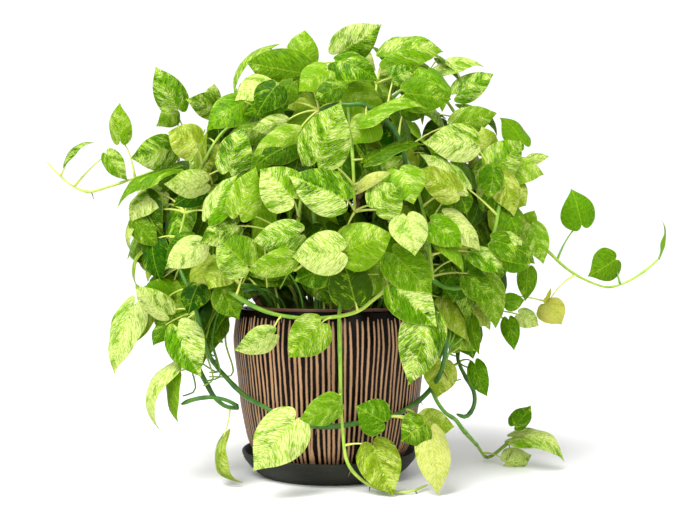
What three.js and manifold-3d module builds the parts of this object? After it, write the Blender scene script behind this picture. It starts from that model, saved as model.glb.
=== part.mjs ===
// A potted variegated pothos: a trailing house plant in a plastic grow pot, which stands inside a
// striped ceramic cache pot on a shallow saucer, with a cane hoop and a straight cane among the vines.
//
// Units are millimetres and +Z is up. The origin is the middle of the saucer's underside. The plant's
// front faces -Y and its two long tendrils reach out along X.

import * as THREE from "three";
import { mergeVertices } from "three/addons/utils/BufferGeometryUtils.js";
import Module from "manifold-3d";

const wasm = await Module();
wasm.setup();

// ---------------------------------------------------------------- driving dimensions

const smallestStep = 0.1;        // finer steps than this in a cut face are smoothed away
const gap = 0.3;                 // clear space between pieces that rest on or pass each other
const turns = 36;                // facets round every turned pot

const saucer = { foot: 94, rim: 114, height: 30, wall: 4.5, floor: 5 };
const cachePot = { foot: 87, belly: 125, mouth: 120, top: 212, wall: 7, floor: 9 };
const growPot = { foot: 78, mouth: 104, lip: 107, lipDepth: 9, top: 215, wall: 2, hole: 6 };
const soil = { top: 195, wallGap: 0.4 };
const cane = { radius: 4.6, sides: 8 };
const hoop = { radius: 117, x: -28, y: -18, middle: 339, footLeft: 46, footRight: 90 };

const stem = { radius: 2.7, sides: 5, step: 32 };
const stalk = { radius: 1.25, sides: 3, steps: 2, bite: 4 };
const blade = { thickness: 1.0, length: 66 };
const floorClearance = 0.5;      // leaves and stems on the floor stay this far above the saucer's foot
const eye = { x: 20, y: -1350, z: 278 };
const leafSpacing = 56;          // along the vines at the back
const ownLeaves = 32;            // leaves that are nodes of their own; the rest are joined to their vine

// ---------------------------------------------------------------- solids

// A closed three.js geometry as a solid that can be joined and cut.
function solidOf(geometry) {
  const bare = geometry.clone();
  bare.deleteAttribute("normal");
  bare.deleteAttribute("uv");
  const merged = mergeVertices(bare, 1e-4);
  const mesh = new wasm.Mesh({
    numProp: 3,
    vertProperties: new Float32Array(merged.attributes.position.array),
    triVerts: new Uint32Array(merged.index.array),
  });
  return new wasm.Manifold(mesh);
}

function geometryOf(solid) {
  const mesh = solid.getMesh();
  const geometry = new THREE.BufferGeometry();
  geometry.setAttribute("position", new THREE.BufferAttribute(mesh.vertProperties, 3));
  geometry.setIndex(new THREE.BufferAttribute(mesh.triVerts, 1));
  return geometry;
}

// A turned solid: the profile's [radius, height] points run from the axis, round the wall, to the axis.
function turned(profile) {
  const points = profile.map(([radius, height]) => new THREE.Vector2(radius, height));
  const geometry = new THREE.LatheGeometry(points, turns);
  geometry.rotateX(Math.PI / 2);
  return solidOf(geometry);
}

// A round bar along a smooth curve.
function bar(curve, radius, sides, steps) {
  const section = new THREE.Shape();
  for (let k = 0; k < sides; k += 1) {
    const angle = (2 * Math.PI * k) / sides;
    const x = radius * Math.cos(angle);
    const y = radius * Math.sin(angle);
    if (k === 0) section.moveTo(x, y);
    else section.lineTo(x, y);
  }
  section.closePath();
  const geometry = new THREE.ExtrudeGeometry(section, {
    steps,
    bevelEnabled: false,
    extrudePath: curve,
  });
  return solidOf(geometry);
}

// The piece of a solid that has the most material, with the crumbs that a cut left behind dropped.
function mainPiece(solid) {
  const pieces = solid.simplify(smallestStep).decompose();
  pieces.sort((a, b) => b.volume() - a.volume());
  return pieces[0];
}

// ---------------------------------------------------------------- pots

function saucerSolid() {
  const s = saucer;
  return turned([
    [0, 0], [s.foot - 3, 0], [s.foot, 2], [s.foot + 9, 10], [s.rim - 3, 20], [s.rim, s.height - 2],
    [s.rim - 1, s.height], [s.rim - s.wall + 0.5, s.height], [s.rim - s.wall - 1, s.height - 3],
    [s.rim - s.wall - 5, 19], [s.foot + 2, 9], [s.foot - 4, s.floor], [0, s.floor],
  ]);
}

const potBase = saucer.floor + gap;

// The cache pot's outside, from the foot up: it swells to a belly and draws in a little at the mouth.
const potOutside = [
  [cachePot.foot - 4, potBase], [cachePot.foot, potBase + 3], [98, 27], [106, 43], [110, 60], [115, 85],
  [117, 102], [120, 130], [124, 160], [cachePot.belly, 175], [122, 198], [cachePot.mouth, cachePot.top - 2],
];

function cachePotSolid() {
  const wall = cachePot.wall;
  const inside = [
    [cachePot.mouth - 2, cachePot.top], [cachePot.mouth - wall + 1, cachePot.top],
    [cachePot.mouth - wall, cachePot.top - 2], [cachePot.belly - wall - 1, 175], [109.5, 102], [102, 50],
    [88, 20], [82, potBase + cachePot.floor], [0, potBase + cachePot.floor],
  ];
  return turned([[0, potBase], ...potOutside, ...inside]);
}

const growBase = potBase + cachePot.floor + gap;

function growPotSolid() {
  const g = growPot;
  const shell = turned([
    [0, growBase], [g.foot, growBase], [g.mouth, g.top - g.lipDepth], [g.lip, g.top - g.lipDepth],
    [g.lip, g.top], [g.mouth - g.wall, g.top], [g.foot - g.wall, growBase + g.wall],
    [0, growBase + g.wall],
  ]);
  let pierced = shell;
  for (let k = 0; k < 6; k += 1) {
    const drain = new THREE.CylinderGeometry(g.hole, g.hole, 12, 12);
    drain.rotateX(Math.PI / 2);
    const angle = (2 * Math.PI * k) / 6;
    drain.translate(50 * Math.cos(angle), 50 * Math.sin(angle), growBase);
    pierced = pierced.subtract(solidOf(drain));
  }
  return pierced;
}

function soilSolid() {
  const bottom = growBase + growPot.wall + gap;
  const wallAt = (height) => {
    const share = (height - growBase) / (growPot.top - growBase);
    return growPot.foot + share * (growPot.mouth - growPot.foot) - growPot.wall - soil.wallGap;
  };
  return turned([
    [0, bottom], [wallAt(bottom) - 0.5, bottom], [wallAt(soil.top - 3) - 0.5, soil.top - 3], [92, soil.top],
    [0, soil.top],
  ]);
}

// ---------------------------------------------------------------- canes

// The hoop is one bent cane: two straight legs in the soil and a half ring above them.
function hoopCurve() {
  const points = [];
  const foot = soil.top - cane.radius;
  points.push(new THREE.Vector3(hoop.x + hoop.footRight, hoop.y + 8, foot));
  for (let k = 0; k <= 10; k += 1) {
    const angle = -0.35 + (k / 10) * (Math.PI + 0.7);
    const x = hoop.x + hoop.radius * Math.cos(angle);
    const z = hoop.middle + hoop.radius * Math.sin(angle);
    points.push(new THREE.Vector3(x, hoop.y, z));
  }
  points.push(new THREE.Vector3(hoop.x - hoop.footLeft, hoop.y + 8, foot));
  return new THREE.CatmullRomCurve3(points);
}

function straightCaneCurve() {
  const foot = new THREE.Vector3(-4, 16, soil.top - cane.radius);
  const tip = new THREE.Vector3(64, -52, 462);
  return new THREE.LineCurve3(foot, tip);
}

// ---------------------------------------------------------------- the chart

// Stems and leaves are charted as they line up from the front, from a point level with the middle of
// the plant: u runs across and w up, both measured on the upright plane through the pot's axis, and y is
// the real depth. place() turns a chart entry into the real point.
function place(u, w, y) {
  const spread = (y - eye.y) / -eye.y;
  return new THREE.Vector3(eye.x + (u - eye.x) * spread, y, eye.z + (w - eye.z) * spread);
}

// Each charted vine: where it is rooted in the soil (x, y), then its way as chart entries (u, w, y).
const chartedVines = [
  // along the front of the rim, from left to right
  { root: [-62, -36], way: [
    [-92, 236, -62], [-132, 236, -112], [-122, 227, -138], [-92, 210, -143], [-62, 201, -143],
    [-20, 198, -143], [15, 201, -143], [38, 208, -143], [55, 221, -143], [72, 234, -143], [87, 249, -143],
  ] },
  // straight down the front of the pot and along the floor
  { root: [22, -48], way: [
    [20, 240, -84], [15, 224, -118], [12, 204, -130], [13, 150, -134], [14, 98, -136], [16, 58, -136],
    [22, 12, -136], [34, -6, -134], [60, -23, -126], [100, -28, -142], [126, -19, -108],
  ] },
  // over the right of the rim, low across the front of the pot and up into the left side
  { root: [78, -22], way: [
    [112, 228, -50], [138, 206, -92], [150, 168, -98], [146, 134, -84], [134, 110, -62], [116, 91, -52],
    [84, 72, -96], [45, 63, -118], [0, 57, -124], [-40, 61, -120], [-88, 84, -96], [-112, 98, -66],
    [-136, 122, -66], [-156, 148, -88], [-166, 180, -97], [-180, 226, -92], [-196, 264, -80],
  ] },
  // the dark loops left of the pot
  { root: [-80, 24], way: [
    [-100, 250, 16], [-138, 236, -6], [-164, 208, -42], [-176, 170, -62], [-171, 135, -66],
    [-160, 112, -68],
    [-150, 95, -70], [-135, 83, -73], [-119, 82, -79], [-134, 91, -86], [-156, 95, -88], [-178, 92, -86],
    [-193, 86, -84],
  ] },
  // down the right side to the floor, then up again at its growing tip
  { root: [86, 6], way: [
    [106, 236, 4], [132, 230, 0], [153, 206, -10], [150, 175, -30], [140, 142, -46], [131, 115, -56],
    [137, 94, -58],
    [149, 76, -54], [163, 66, -40], [172, 54, -20], [190, 34, 26], [206, 17, 68], [222, 28, 56],
    [240, 43, 40], [252, 50, 30],
  ] },
  // the second right-hand stem, which ends against the first
  { root: [70, 34], way: [
    [126, 236, 24], [160, 210, 14], [167, 175, 2], [166, 145, -6], [176, 122, -10], [187, 102, -12],
    [187, 84, -14], [177, 70, -20], [165, 73, -28],
  ] },
  // the right tendril
  { root: [62, 2], way: [
    [100, 262, 2], [160, 318, 10], [220, 318, 15], [262, 300, 18], [283, 285, 20], [302, 267, 20],
    [320, 254, 20], [345, 242, 20], [360, 238, 20], [376, 241, 20], [395, 250, 20], [415, 264, 20],
    [428, 276, 20],
  ] },
  // the left tendril
  { root: [-46, 18], way: [
    [-70, 280, 12], [-120, 358, 6], [-170, 394, 2], [-205, 398, 0], [-232, 388, 0], [-262, 377, 0],
    [-290, 368, 0], [-313, 362, 2], [-332, 368, 14], [-350, 382, 28], [-368, 401, 38],
  ] },
  // up the right side
  { root: [50, -42], way: [
    [98, 262, -62], [158, 236, -92], [194, 250, -94], [207, 285, -92], [214, 312, -90], [221, 348, -85],
    [232, 378, -70], [240, 408, -50],
  ] },
  // up the middle to the highest leaves
  { root: [10, -12], way: [
    [15, 290, -24], [24, 380, -50], [36, 440, -76], [52, 475, -80], [60, 502, -66], [40, 524, -50],
    [12, 528, -44],
  ] },
  // the dark stem across the top
  { root: [34, 22], way: [
    [84, 300, -40], [98, 400, -98], [78, 450, -132], [56, 467, -146], [42, 476, -150], [25, 475, -150],
    [8, 476, -144], [-14, 468, -130],
  ] },
];

// Vines that arch up out of the pot and fall outwards: heading from +X, root radius, height of the
// arch, how far out the tip hangs and how high it ends.
const archedVines = [
  [208, 48, 440, 205, 300], [236, 30, 500, 150, 420], [256, 62, 372, 158, 262], [282, 40, 462, 150, 330],
  [318, 64, 400, 168, 250], [2, 42, 505, 190, 400], [34, 74, 430, 215, 215], [62, 50, 520, 185, 330],
  [92, 76, 400, 205, 180], [122, 52, 500, 190, 290], [158, 76, 420, 225, 200],
];

function archedPoints([heading, rootRadius, top, reach, end]) {
  const angle = THREE.MathUtils.degToRad(heading);
  const soilTop = soil.top + gap;
  const at = (radius, z) => new THREE.Vector3(radius * Math.cos(angle), radius * Math.sin(angle), z);
  return [
    at(rootRadius, soilTop), at(rootRadius + 4, soilTop + 0.4 * (top - soilTop)),
    at(rootRadius + 0.25 * (reach - rootRadius), top - 24), at(rootRadius + 0.55 * (reach - rootRadius), top),
    at(rootRadius + 0.85 * (reach - rootRadius), 0.55 * top + 0.45 * end), at(reach, end),
  ];
}

function vineCurves() {
  const charted = chartedVines.map(({ root, way }) => {
    const rooted = new THREE.Vector3(root[0], root[1], soil.top + gap);
    return new THREE.CatmullRomCurve3([rooted, ...way.map((entry) => place(...entry))]);
  });
  const arched = archedVines.map((vine) => new THREE.CatmullRomCurve3(archedPoints(vine)));
  return [...charted, ...arched];
}

// Charted leaves: the blade's base (u, w, y), its tip (u, w, y), width, how far it is turned about its
// midrib in degrees, how far its middle bows out, and its colouring.
const chartedLeaves = [
  [-17, 402, -190, 12, 480, -196, 58, 0, 5, "marbled"],
  [17, 352, -194, -54, 385, -190, 52, -5, 5, "half"],
  [-48, 354, -184, -92, 392, -172, 54, 5, 4, "half"],
  [14, 284, -194, -50, 278, -190, 50, -15, 4, "cream"],
  [17, 284, -188, 82, 309, -184, 54, 5, 5, "lime"],
  [100, 330, -184, 110, 279, -194, 44, 0, 4, "cream"],
  [-107, 266, -168, -148, 303, -160, 52, 0, 4, "marbled"],
  [10, 541, -66, 68, 579, -72, 46, 18, 6, "half"],
  [73, 538, -76, 148, 547, -58, 48, -10, 12, "marbled"],
  [-46, 66, -158, -101, 0, -172, 60, 0, 4, "cream"],
  [10, 87, -150, -41, 64, -158, 36, -20, 8, "lime"],
  [-13, 190, -158, -55, 147, -162, 48, 0, 4, "lime"],
  [-74, 176, -158, -125, 155, -162, 34, -35, 6, "cream"],
  [128, 198, -164, 101, 111, -168, 54, 0, 5, "marbled"],
  [56, 32, -140, 83, -33, -152, 50, 0, 3, "olive"],
  [130, 50, -134, 139, -33, -148, 42, 0, 6, "yellow"],
  [70, 63, -146, 33, 83, -150, 44, 0, 3, "green"],
  [32, 220, -166, 16, 280, -160, 50, 0, 4, "dark"],
  [-198, 470, -50, -228, 525, -60, 40, 10, 4, "marbled"],
  [-273, 429, 0, -273, 478, -4, 34, 0, 3, "lime"],
  [-345, 401, 2, -307, 427, 0, 22, -30, 8, "marbled"],
  [-290, 411, -2, -264, 376, -6, 28, 0, 3, "marbled"],
  [327, 319, 20, 314, 366, 16, 46, 0, 3, "solid"],
  [371, 274, 20, 336, 253, 12, 44, 0, 3, "solid"],
  [430, 279, 20, 436, 324, 18, 14, 55, 3, "solid"],
  [252, 424, -20, 223, 461, -12, 40, 10, 3, "solid"],
  [281, 216, 0, 302, 190, -4, 38, 20, 6, "brown"],
  [-255, 214, -56, -286, 126, -58, 44, 0, 5, "cream"],
  [-205, 136, -84, -224, 50, -90, 42, 40, 22, "cream"],
  [-140, 42, -86, -118, -18, -98, 36, 45, 18, "olive"],
  [240, 44, 12, 306, 14, 0, 34, -20, 22, "cream"],
  [45, 457, -164, 128, 474, -150, 36, -45, 12, "lime"],
  [228, 10, 20, 262, 20, 18, 34, 0, 4, "cream"],
  [-158, 328, -158, -122, 384, -162, 38, -15, 4, "half"],
  [-118, 333, -172, -97, 395, -168, 40, 10, 4, "lime"],
  [-131, 390, -150, -112, 446, -148, 46, 0, 4, "marbled"],
  [-162, 373, -130, -216, 371, -134, 36, -40, 5, "cream"],
  [-200, 468, -40, -226, 448, -52, 30, -45, 8, "lime"],
  [-143, 470, -60, -187, 482, -78, 34, -20, 4, "marbled"],
  [-110, 480, -108, -162, 444, -122, 46, 0, 6, "green"],
  [-33, 516, -126, -110, 530, -106, 50, -25, 10, "green"],
  [-80, 552, -60, -128, 488, -78, 30, 50, 14, "lime"],
  [-70, 508, -120, -124, 482, -128, 46, 15, 6, "cream"],
  [-38, 528, -60, -31, 573, -42, 42, 10, 4, "lime"],
  [22, 548, -20, 60, 520, -12, 36, 0, 4, "cream"],
  [137, 520, -40, 200, 526, -40, 36, -35, 10, "cream"],
  [165, 489, -50, 213, 516, -42, 34, 0, 4, "marbled"],
  [162, 449, -60, 218, 463, -52, 36, 10, 5, "lime"],
  [128, 520, -100, 147, 467, -118, 46, -20, 8, "green"],
  [98, 490, -138, 158, 484, -138, 42, 20, 8, "green"],
  [8, 532, -116, 63, 506, -128, 44, -10, 8, "green"],
  [-4, 520, -138, -40, 492, -144, 40, 0, 4, "lime"],
  [-70, 500, -138, -95, 462, -140, 40, 0, 4, "dark"],
  [-48, 505, -128, -62, 470, -130, 30, 0, 3, "green"],
  [10, 498, -148, -20, 482, -150, 30, 0, 3, "green"],
  [-205, 392, -68, -277, 342, -78, 32, 35, 12, "green"],
  [-205, 417, -68, -259, 406, -74, 44, -30, 12, "marbled"],
  [-174, 424, -108, -212, 440, -100, 44, 0, 3, "olive"],
  [-222, 362, -60, -262, 322, -68, 42, 10, 10, "cream"],
  [-254, 325, -70, -222, 291, -78, 32, 0, 3, "green"],
  [-212, 203, -98, -255, 241, -104, 40, -25, 4, "cream"],
  [-198, 186, -100, -168, 122, -108, 50, 0, 5, "half"],
  [-238, 212, -40, -262, 160, -42, 34, 0, 3, "olive"],
  [-172, 240, -118, -184, 203, -128, 36, 0, 3, "dark"],
  [-208, 225, -80, -246, 237, -86, 40, 0, 3, "green"],
  [-168, 294, -148, -214, 262, -154, 36, -10, 4, "cream"],
  [-122, 318, -158, -170, 295, -162, 34, -10, 5, "marbled"],
  [-40, 307, -182, -101, 297, -178, 38, -20, 8, "marbled"],
  [-50, 274, -184, -109, 260, -176, 32, -30, 8, "lime"],
  [-5, 262, -150, -46, 246, -150, 38, 0, 3, "green"],
  [82, 282, -150, 133, 227, -164, 52, 0, 4, "green"],
  [85, 240, -158, 140, 188, -170, 50, 10, 4, "half"],
  [122, 60, -138, 92, 38, -142, 42, 0, 3, "green"],
  [118, 62, -108, 162, 58, -108, 38, 0, 3, "olive"],
  [146, 140, -60, 140, 95, -68, 44, 0, 3, "olive"],
  [205, 250, -60, 218, 185, -62, 42, 0, 4, "lime"],
  [225, 392, -50, 279, 385, -42, 42, -10, 8, "lime"],
  [230, 368, -60, 256, 345, -52, 48, 0, 4, "olive"],
  [212, 390, -80, 250, 428, -62, 48, 10, 4, "lime"],
  [207, 414, -70, 197, 447, -72, 36, 0, 3, "olive"],
  [262, 318, -30, 277, 268, -32, 34, 25, 6, "lime"],
  [216, 298, -110, 268, 270, -92, 38, -10, 8, "green"],
  [232, 280, -70, 258, 262, -62, 36, 0, 3, "green"],
  [226, 345, -80, 246, 300, -82, 38, 0, 4, "green"],
  [188, 426, -128, 121, 427, -138, 46, -10, 5, "cream"],
  [50, 404, -160, 122, 426, -150, 30, -40, 8, "dark"],
  [176, 368, -130, 118, 413, -138, 32, 10, 4, "cream"],
  [165, 363, -140, 110, 390, -148, 42, 0, 4, "olive"],
  [90, 390, -170, 108, 346, -178, 52, 0, 6, "lime"],
  [60, 341, -184, 92, 372, -184, 46, 0, 3, "marbled"],
  [20, 432, -120, 8, 348, -138, 56, 0, 4, "dark"],
  [-42, 438, -150, -102, 408, -150, 32, -10, 6, "lime"],
  [-45, 426, -150, -95, 400, -158, 36, 0, 4, "dark"],
  [150, 330, -140, 198, 287, -130, 38, -10, 5, "cream"],
  [132, 322, -158, 172, 290, -158, 38, 0, 4, "green"],
  [186, 284, -118, 228, 258, -110, 30, -10, 4, "marbled"],
  [180, 252, -108, 212, 215, -108, 36, 0, 4, "green"],
  [170, 246, -90, 160, 218, -90, 32, 0, 3, "green"],
  [165, 365, -128, 178, 332, -128, 32, 0, 3, "dark"],
  [212, 392, -98, 206, 352, -98, 34, 0, 3, "green"],
  [222, 385, -88, 240, 330, -88, 38, 0, 3, "olive"],
  [-135, 268, -138, -158, 236, -144, 38, 0, 3, "olive"],
  [-140, 236, -128, -120, 196, -134, 40, 0, 3, "green"],
  [-178, 300, -138, -214, 272, -138, 32, -20, 5, "green"],
  [55, 455, -140, 30, 425, -150, 40, 0, 4, "lime"],
];

// A leaf's frame: base, run from base to tip, and the way its upper face looks.
function leafAt(base, tip, width, face, bow, look) {
  const run = tip.clone().sub(base);
  const length = run.length();
  run.normalize();
  const up = face.clone().addScaledVector(run, -face.dot(run)).normalize();
  const across = new THREE.Vector3().crossVectors(run, up);
  return { base, length, width, bow, look, run, up, across };
}

// A charted leaf looks to the front, and a little up and away from the pot's axis.
function chartedLeaf([u0, w0, y0, u1, w1, y1, width, turn, bow, look]) {
  const base = place(u0, w0, y0);
  const tip = place(u1, w1, y1);
  const run = tip.clone().sub(base).normalize();
  const face = new THREE.Vector3(base.x / 700, -1, 0.22);
  face.addScaledVector(run, -face.dot(run)).normalize();
  face.applyAxisAngle(run, THREE.MathUtils.degToRad(turn));
  return leafAt(base, tip, width, face, bow, look);
}

// A small repeatable random series, so that the back of the plant grows the same way every time.
let seed = 7;
function chance(low, high) {
  seed = (seed * 16807) % 2147483647;
  return low + ((high - low) * seed) / 2147483647;
}

// Leaves along an arched vine, in turn on its two sides, for the back and sides of the plant.
const backLooks = ["marbled", "green", "lime", "half", "marbled", "green", "cream", "lime"];

function backLeaves(curve, first) {
  const leaves = [];
  const length = curve.getLength();
  const count = Math.floor((length - 110) / leafSpacing);
  for (let k = 0; k < count; k += 1) {
    const along = (110 + leafSpacing * k + chance(0, 14)) / length;
    const from = curve.getPointAt(Math.min(along, 0.995));
    const out = new THREE.Vector3(from.x, from.y, 0).normalize();
    const side = new THREE.Vector3(-out.y, out.x, 0).multiplyScalar(k % 2 ? 1 : -1);
    const reach = chance(34, 52);
    const base = from.clone();
    base.addScaledVector(out, reach * 0.45).addScaledVector(side, reach * 0.75);
    base.z += reach * chance(0.2, 0.7);
    const run = out.clone().multiplyScalar(chance(0.3, 0.7)).addScaledVector(side, chance(0.1, 0.6));
    run.z = -chance(0.35, 0.8);
    run.normalize();
    const tip = base.clone().addScaledVector(run, blade.length * chance(0.85, 1.15));
    const face = out.clone().addScaledVector(side, 0.2);
    face.z = 0.8;
    const width = chance(40, 52);
    const bow = chance(4, 9);
    const look = backLooks[(first + k) % backLooks.length];
    leaves.push(leafAt(base, tip, width, face, bow, look));
  }
  return leaves;
}

// ---------------------------------------------------------------- leaves and stalks

// A blade is a thin bowed plate with a notched base, widest a third of the way along.
const bladeOutline = [[0, 0], [0.33, -0.06], [0.5, 0.3], [0, 1], [-0.5, 0.3], [-0.33, -0.06]];

function bladeSolid(leaf, swell) {
  const { base, length, width, bow, run, up, across } = leaf;
  const outline = new THREE.Shape(bladeOutline.map(([x, y]) => new THREE.Vector2(x, y)));
  const geometry = new THREE.ExtrudeGeometry(outline, { depth: 1, bevelEnabled: false });
  const spots = geometry.attributes.position;
  for (let k = 0; k < spots.count; k += 1) {
    const share = spots.getY(k);
    const x = spots.getX(k) * (width + 3 * swell);
    const y = share * length + Math.sign(share - 0.2) * 1.5 * swell;
    const lift = bow * (1 - (2 * share - 1) ** 2) + 0.16 * Math.abs(x);
    const z = lift + (spots.getZ(k) - 0.5) * (blade.thickness + 2 * swell);
    const spot = base.clone().addScaledVector(across, x).addScaledVector(run, y).addScaledVector(up, z);
    spots.setXYZ(k, spot.x, spot.y, spot.z);
  }
  return solidOf(geometry);
}

// The stalk bends from its node on the stem up to the blade's base, from behind the blade.
function stalkCurve(leaf) {
  const from = leaf.node;
  const to = leaf.base.clone().addScaledVector(leaf.run, stalk.bite);
  const bladeRise = (0.84 * leaf.bow + 0.08 * leaf.width) * (stalk.bite / (0.3 * leaf.length));
  to.addScaledVector(leaf.up, bladeRise);
  const reach = from.distanceTo(to);
  const bend = from.clone().lerp(to, 0.55).addScaledVector(leaf.up, -0.14 * reach);
  bend.z += 0.1 * reach;
  return new THREE.QuadraticBezierCurve3(from, bend, to);
}

// Each leaf grows from the nearest stem, and rather from one behind it than from one in front of it.
function attach(leaf, stems) {
  let best = Infinity;
  for (const [vine, points] of stems.entries()) {
    for (const point of points) {
      const away = point.clone().sub(leaf.base);
      const inFront = Math.max(0, away.dot(leaf.up));
      const ahead = Math.max(0, away.dot(leaf.run));
      const above = Math.max(0, away.z);
      const cost = away.length() + 1.5 * inFront + ahead + 0.3 * above;
      if (cost < best) {
        best = cost;
        leaf.vine = vine;
        leaf.node = point;
      }
    }
  }
}

// ---------------------------------------------------------------- growing the plant

const placed = [];

// Later pieces give way to the pieces that are already there, and keep the gap to them.
function giveWay(solid, owner) {
  const box = solid.boundingBox();
  const meets = (other) => [0, 1, 2].every(
    (k) => box.min[k] < other.box.max[k] && box.max[k] > other.box.min[k],
  );
  let rest = solid;
  for (const other of placed) {
    if (other.owner !== owner && meets(other)) rest = rest.subtract(other.swollen);
  }
  return rest;
}

function keepClearOf(swollen, owner) {
  placed.push({ owner, swollen, box: swollen.boundingBox() });
}

const aboveFloor = (solid) => solid.trimByPlane([0, 0, 1], floorClearance);

const pots = {
  saucer: saucerSolid(),
  cache_pot: cachePotSolid(),
  grow_pot: growPotSolid(),
  potting_soil: soilSolid(),
};
for (const [name, solid] of Object.entries(pots)) {
  const share = gap / cachePot.foot;
  const raised = solid.translate([0, 0, gap]);
  const wider = solid.scale([1 + share, 1 + share, 1]);
  const narrower = solid.scale([1 - share, 1 - share, 1]);
  keepClearOf(raised.add(wider).add(narrower), name);
}

const aboveSoil = (solid) => solid.trimByPlane([0, 0, 1], soil.top + gap);
const canes = {
  cane_hoop: aboveSoil(bar(hoopCurve(), cane.radius, cane.sides, 26)),
  straight_cane: aboveSoil(bar(straightCaneCurve(), cane.radius, cane.sides, 2)),
};
canes.straight_cane = giveWay(canes.straight_cane, "straight_cane");
keepClearOf(bar(hoopCurve(), cane.radius + gap, cane.sides, 26), "cane_hoop");
keepClearOf(bar(straightCaneCurve(), cane.radius + gap, cane.sides, 2), "straight_cane");

const curves = vineCurves();
const leaves = chartedLeaves.map(chartedLeaf);
const firstBack = chartedVines.length + 5;
for (let k = firstBack; k < curves.length; k += 1) leaves.push(...backLeaves(curves[k], k));

// Stalks leave a stem at its nodes, which are also where the stem's straight stretches meet.
const nodesAlong = (curve) => Math.ceil(curve.getLength() / stem.step);
const stemPoints = curves.map((curve) => curve.getSpacedPoints(nodesAlong(curve)).slice(1));
for (const leaf of leaves) attach(leaf, stemPoints);

const twoDigits = (number) => String(number).padStart(2, "0");
const vineName = (index) => `vine_${twoDigits(index + 1)}`;
const vines = curves.map((curve, index) => {
  const steps = nodesAlong(curve);
  const body = giveWay(bar(curve, stem.radius, stem.sides, steps), vineName(index));
  keepClearOf(bar(curve, stem.radius + gap, stem.sides, steps), vineName(index));
  return { name: vineName(index), body };
});

for (const leaf of leaves) {
  const vine = vines[leaf.vine];
  const curve = stalkCurve(leaf);
  const body = giveWay(bar(curve, stalk.radius, stalk.sides, stalk.steps), vine.name);
  keepClearOf(bar(curve, stalk.radius + gap, stalk.sides, stalk.steps), vine.name);
  vine.body = vine.body.add(body);
}

const single = [];
for (const [index, leaf] of leaves.entries()) {
  const alone = index < ownLeaves;
  const owner = alone ? `leaf_${twoDigits(index + 1)}` : vines[leaf.vine].name;
  const body = giveWay(bladeSolid(leaf, 0), owner);
  keepClearOf(bladeSolid(leaf, gap), owner);
  if (alone) single.push({ name: owner, look: leaf.look, body: mainPiece(aboveFloor(body)) });
  else vines[leaf.vine].body = vines[leaf.vine].body.add(body);
}

// ---------------------------------------------------------------- the assembly

const leafColours = {
  marbled: 0x9fc94a, half: 0xa9cf58, cream: 0xdfe6a2, lime: 0xa6d332, green: 0x5c9a1c, dark: 0x3a7012,
  olive: 0x98a72c, solid: 0x3f8a12, yellow: 0xe8e58a, brown: 0xcdb565,
};

const finishes = {
  saucer: { color: 0x2c2d28, roughness: 0.6 },
  cache_pot: { color: 0x6b5540, roughness: 0.4 },
  grow_pot: { color: 0x6e4630, roughness: 0.55 },
  potting_soil: { color: 0x3b2c20, roughness: 0.95 },
  cane_hoop: { color: 0xb88a62, roughness: 0.6 },
  straight_cane: { color: 0xc79a6c, roughness: 0.6 },
};

const group = new THREE.Group();

function addPiece(name, solid, finish) {
  const material = new THREE.MeshStandardMaterial({ metalness: 0, ...finish });
  const piece = new THREE.Mesh(geometryOf(solid), material);
  piece.name = name;
  group.add(piece);
}

for (const [name, solid] of Object.entries({ ...pots, ...canes })) addPiece(name, solid, finishes[name]);
for (const { name, body } of vines) {
  addPiece(name, mainPiece(aboveFloor(body)), { color: 0x6fa32c, roughness: 0.45 });
}
for (const { name, look, body } of single) {
  addPiece(name, body, { color: leafColours[look], roughness: 0.4 });
}

export default group;
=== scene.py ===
# A potted variegated pothos: a trailing house plant in a brown plastic grow pot, which stands inside a
# striped ceramic cache pot on a dark saucer. A bent cane hoop and a straight cane stand among its vines.
#
# Blender works in metres here. Lists of places are in millimetres, and mm turns them into metres.
# The plant's front faces -Y, and the origin is the middle of the saucer's underside.

import math

import bpy
from mathutils import Matrix, Vector, noise


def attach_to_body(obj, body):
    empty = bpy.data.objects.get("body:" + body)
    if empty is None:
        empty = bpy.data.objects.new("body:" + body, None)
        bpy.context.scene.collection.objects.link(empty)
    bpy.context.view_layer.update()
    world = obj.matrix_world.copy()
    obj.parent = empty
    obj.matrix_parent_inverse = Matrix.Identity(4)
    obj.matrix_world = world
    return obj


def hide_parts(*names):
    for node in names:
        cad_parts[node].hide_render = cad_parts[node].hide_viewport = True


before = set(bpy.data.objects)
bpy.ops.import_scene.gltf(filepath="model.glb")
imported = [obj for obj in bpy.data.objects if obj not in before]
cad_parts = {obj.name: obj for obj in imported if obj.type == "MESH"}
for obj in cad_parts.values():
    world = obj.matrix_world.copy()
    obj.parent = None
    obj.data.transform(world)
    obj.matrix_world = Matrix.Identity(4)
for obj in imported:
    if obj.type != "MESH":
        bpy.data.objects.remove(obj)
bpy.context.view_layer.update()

mm = 0.001

# ---------------------------------------------------------------- camera, light and floor
# The camera stands level with the middle of the foliage, 1.35 m in front of the pot's axis. The plant
# stands on a plain pale floor in a white room, lit by a wide lamp bank overhead and two soft lamps.

eye = Vector((19.5, -1350, 278)) * mm

bpy.ops.object.camera_add(location=eye, rotation=(math.pi / 2, 0, 0))
camera = bpy.context.object
camera.name = "camera"
camera.data.sensor_width = 36
camera.data.lens = 54.2
camera.data.clip_end = 50
bpy.context.scene.camera = camera
bpy.context.scene.view_settings.view_transform = "Standard"


def paint(text):
    """A colour written as sRGB hex, as the linear colour that a shader takes."""
    parts = [int(text[k : k + 2], 16) / 255 for k in (1, 3, 5)]
    return [p / 12.92 if p <= 0.04045 else ((p + 0.055) / 1.055) ** 2.4 for p in parts] + [1.0]


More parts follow.
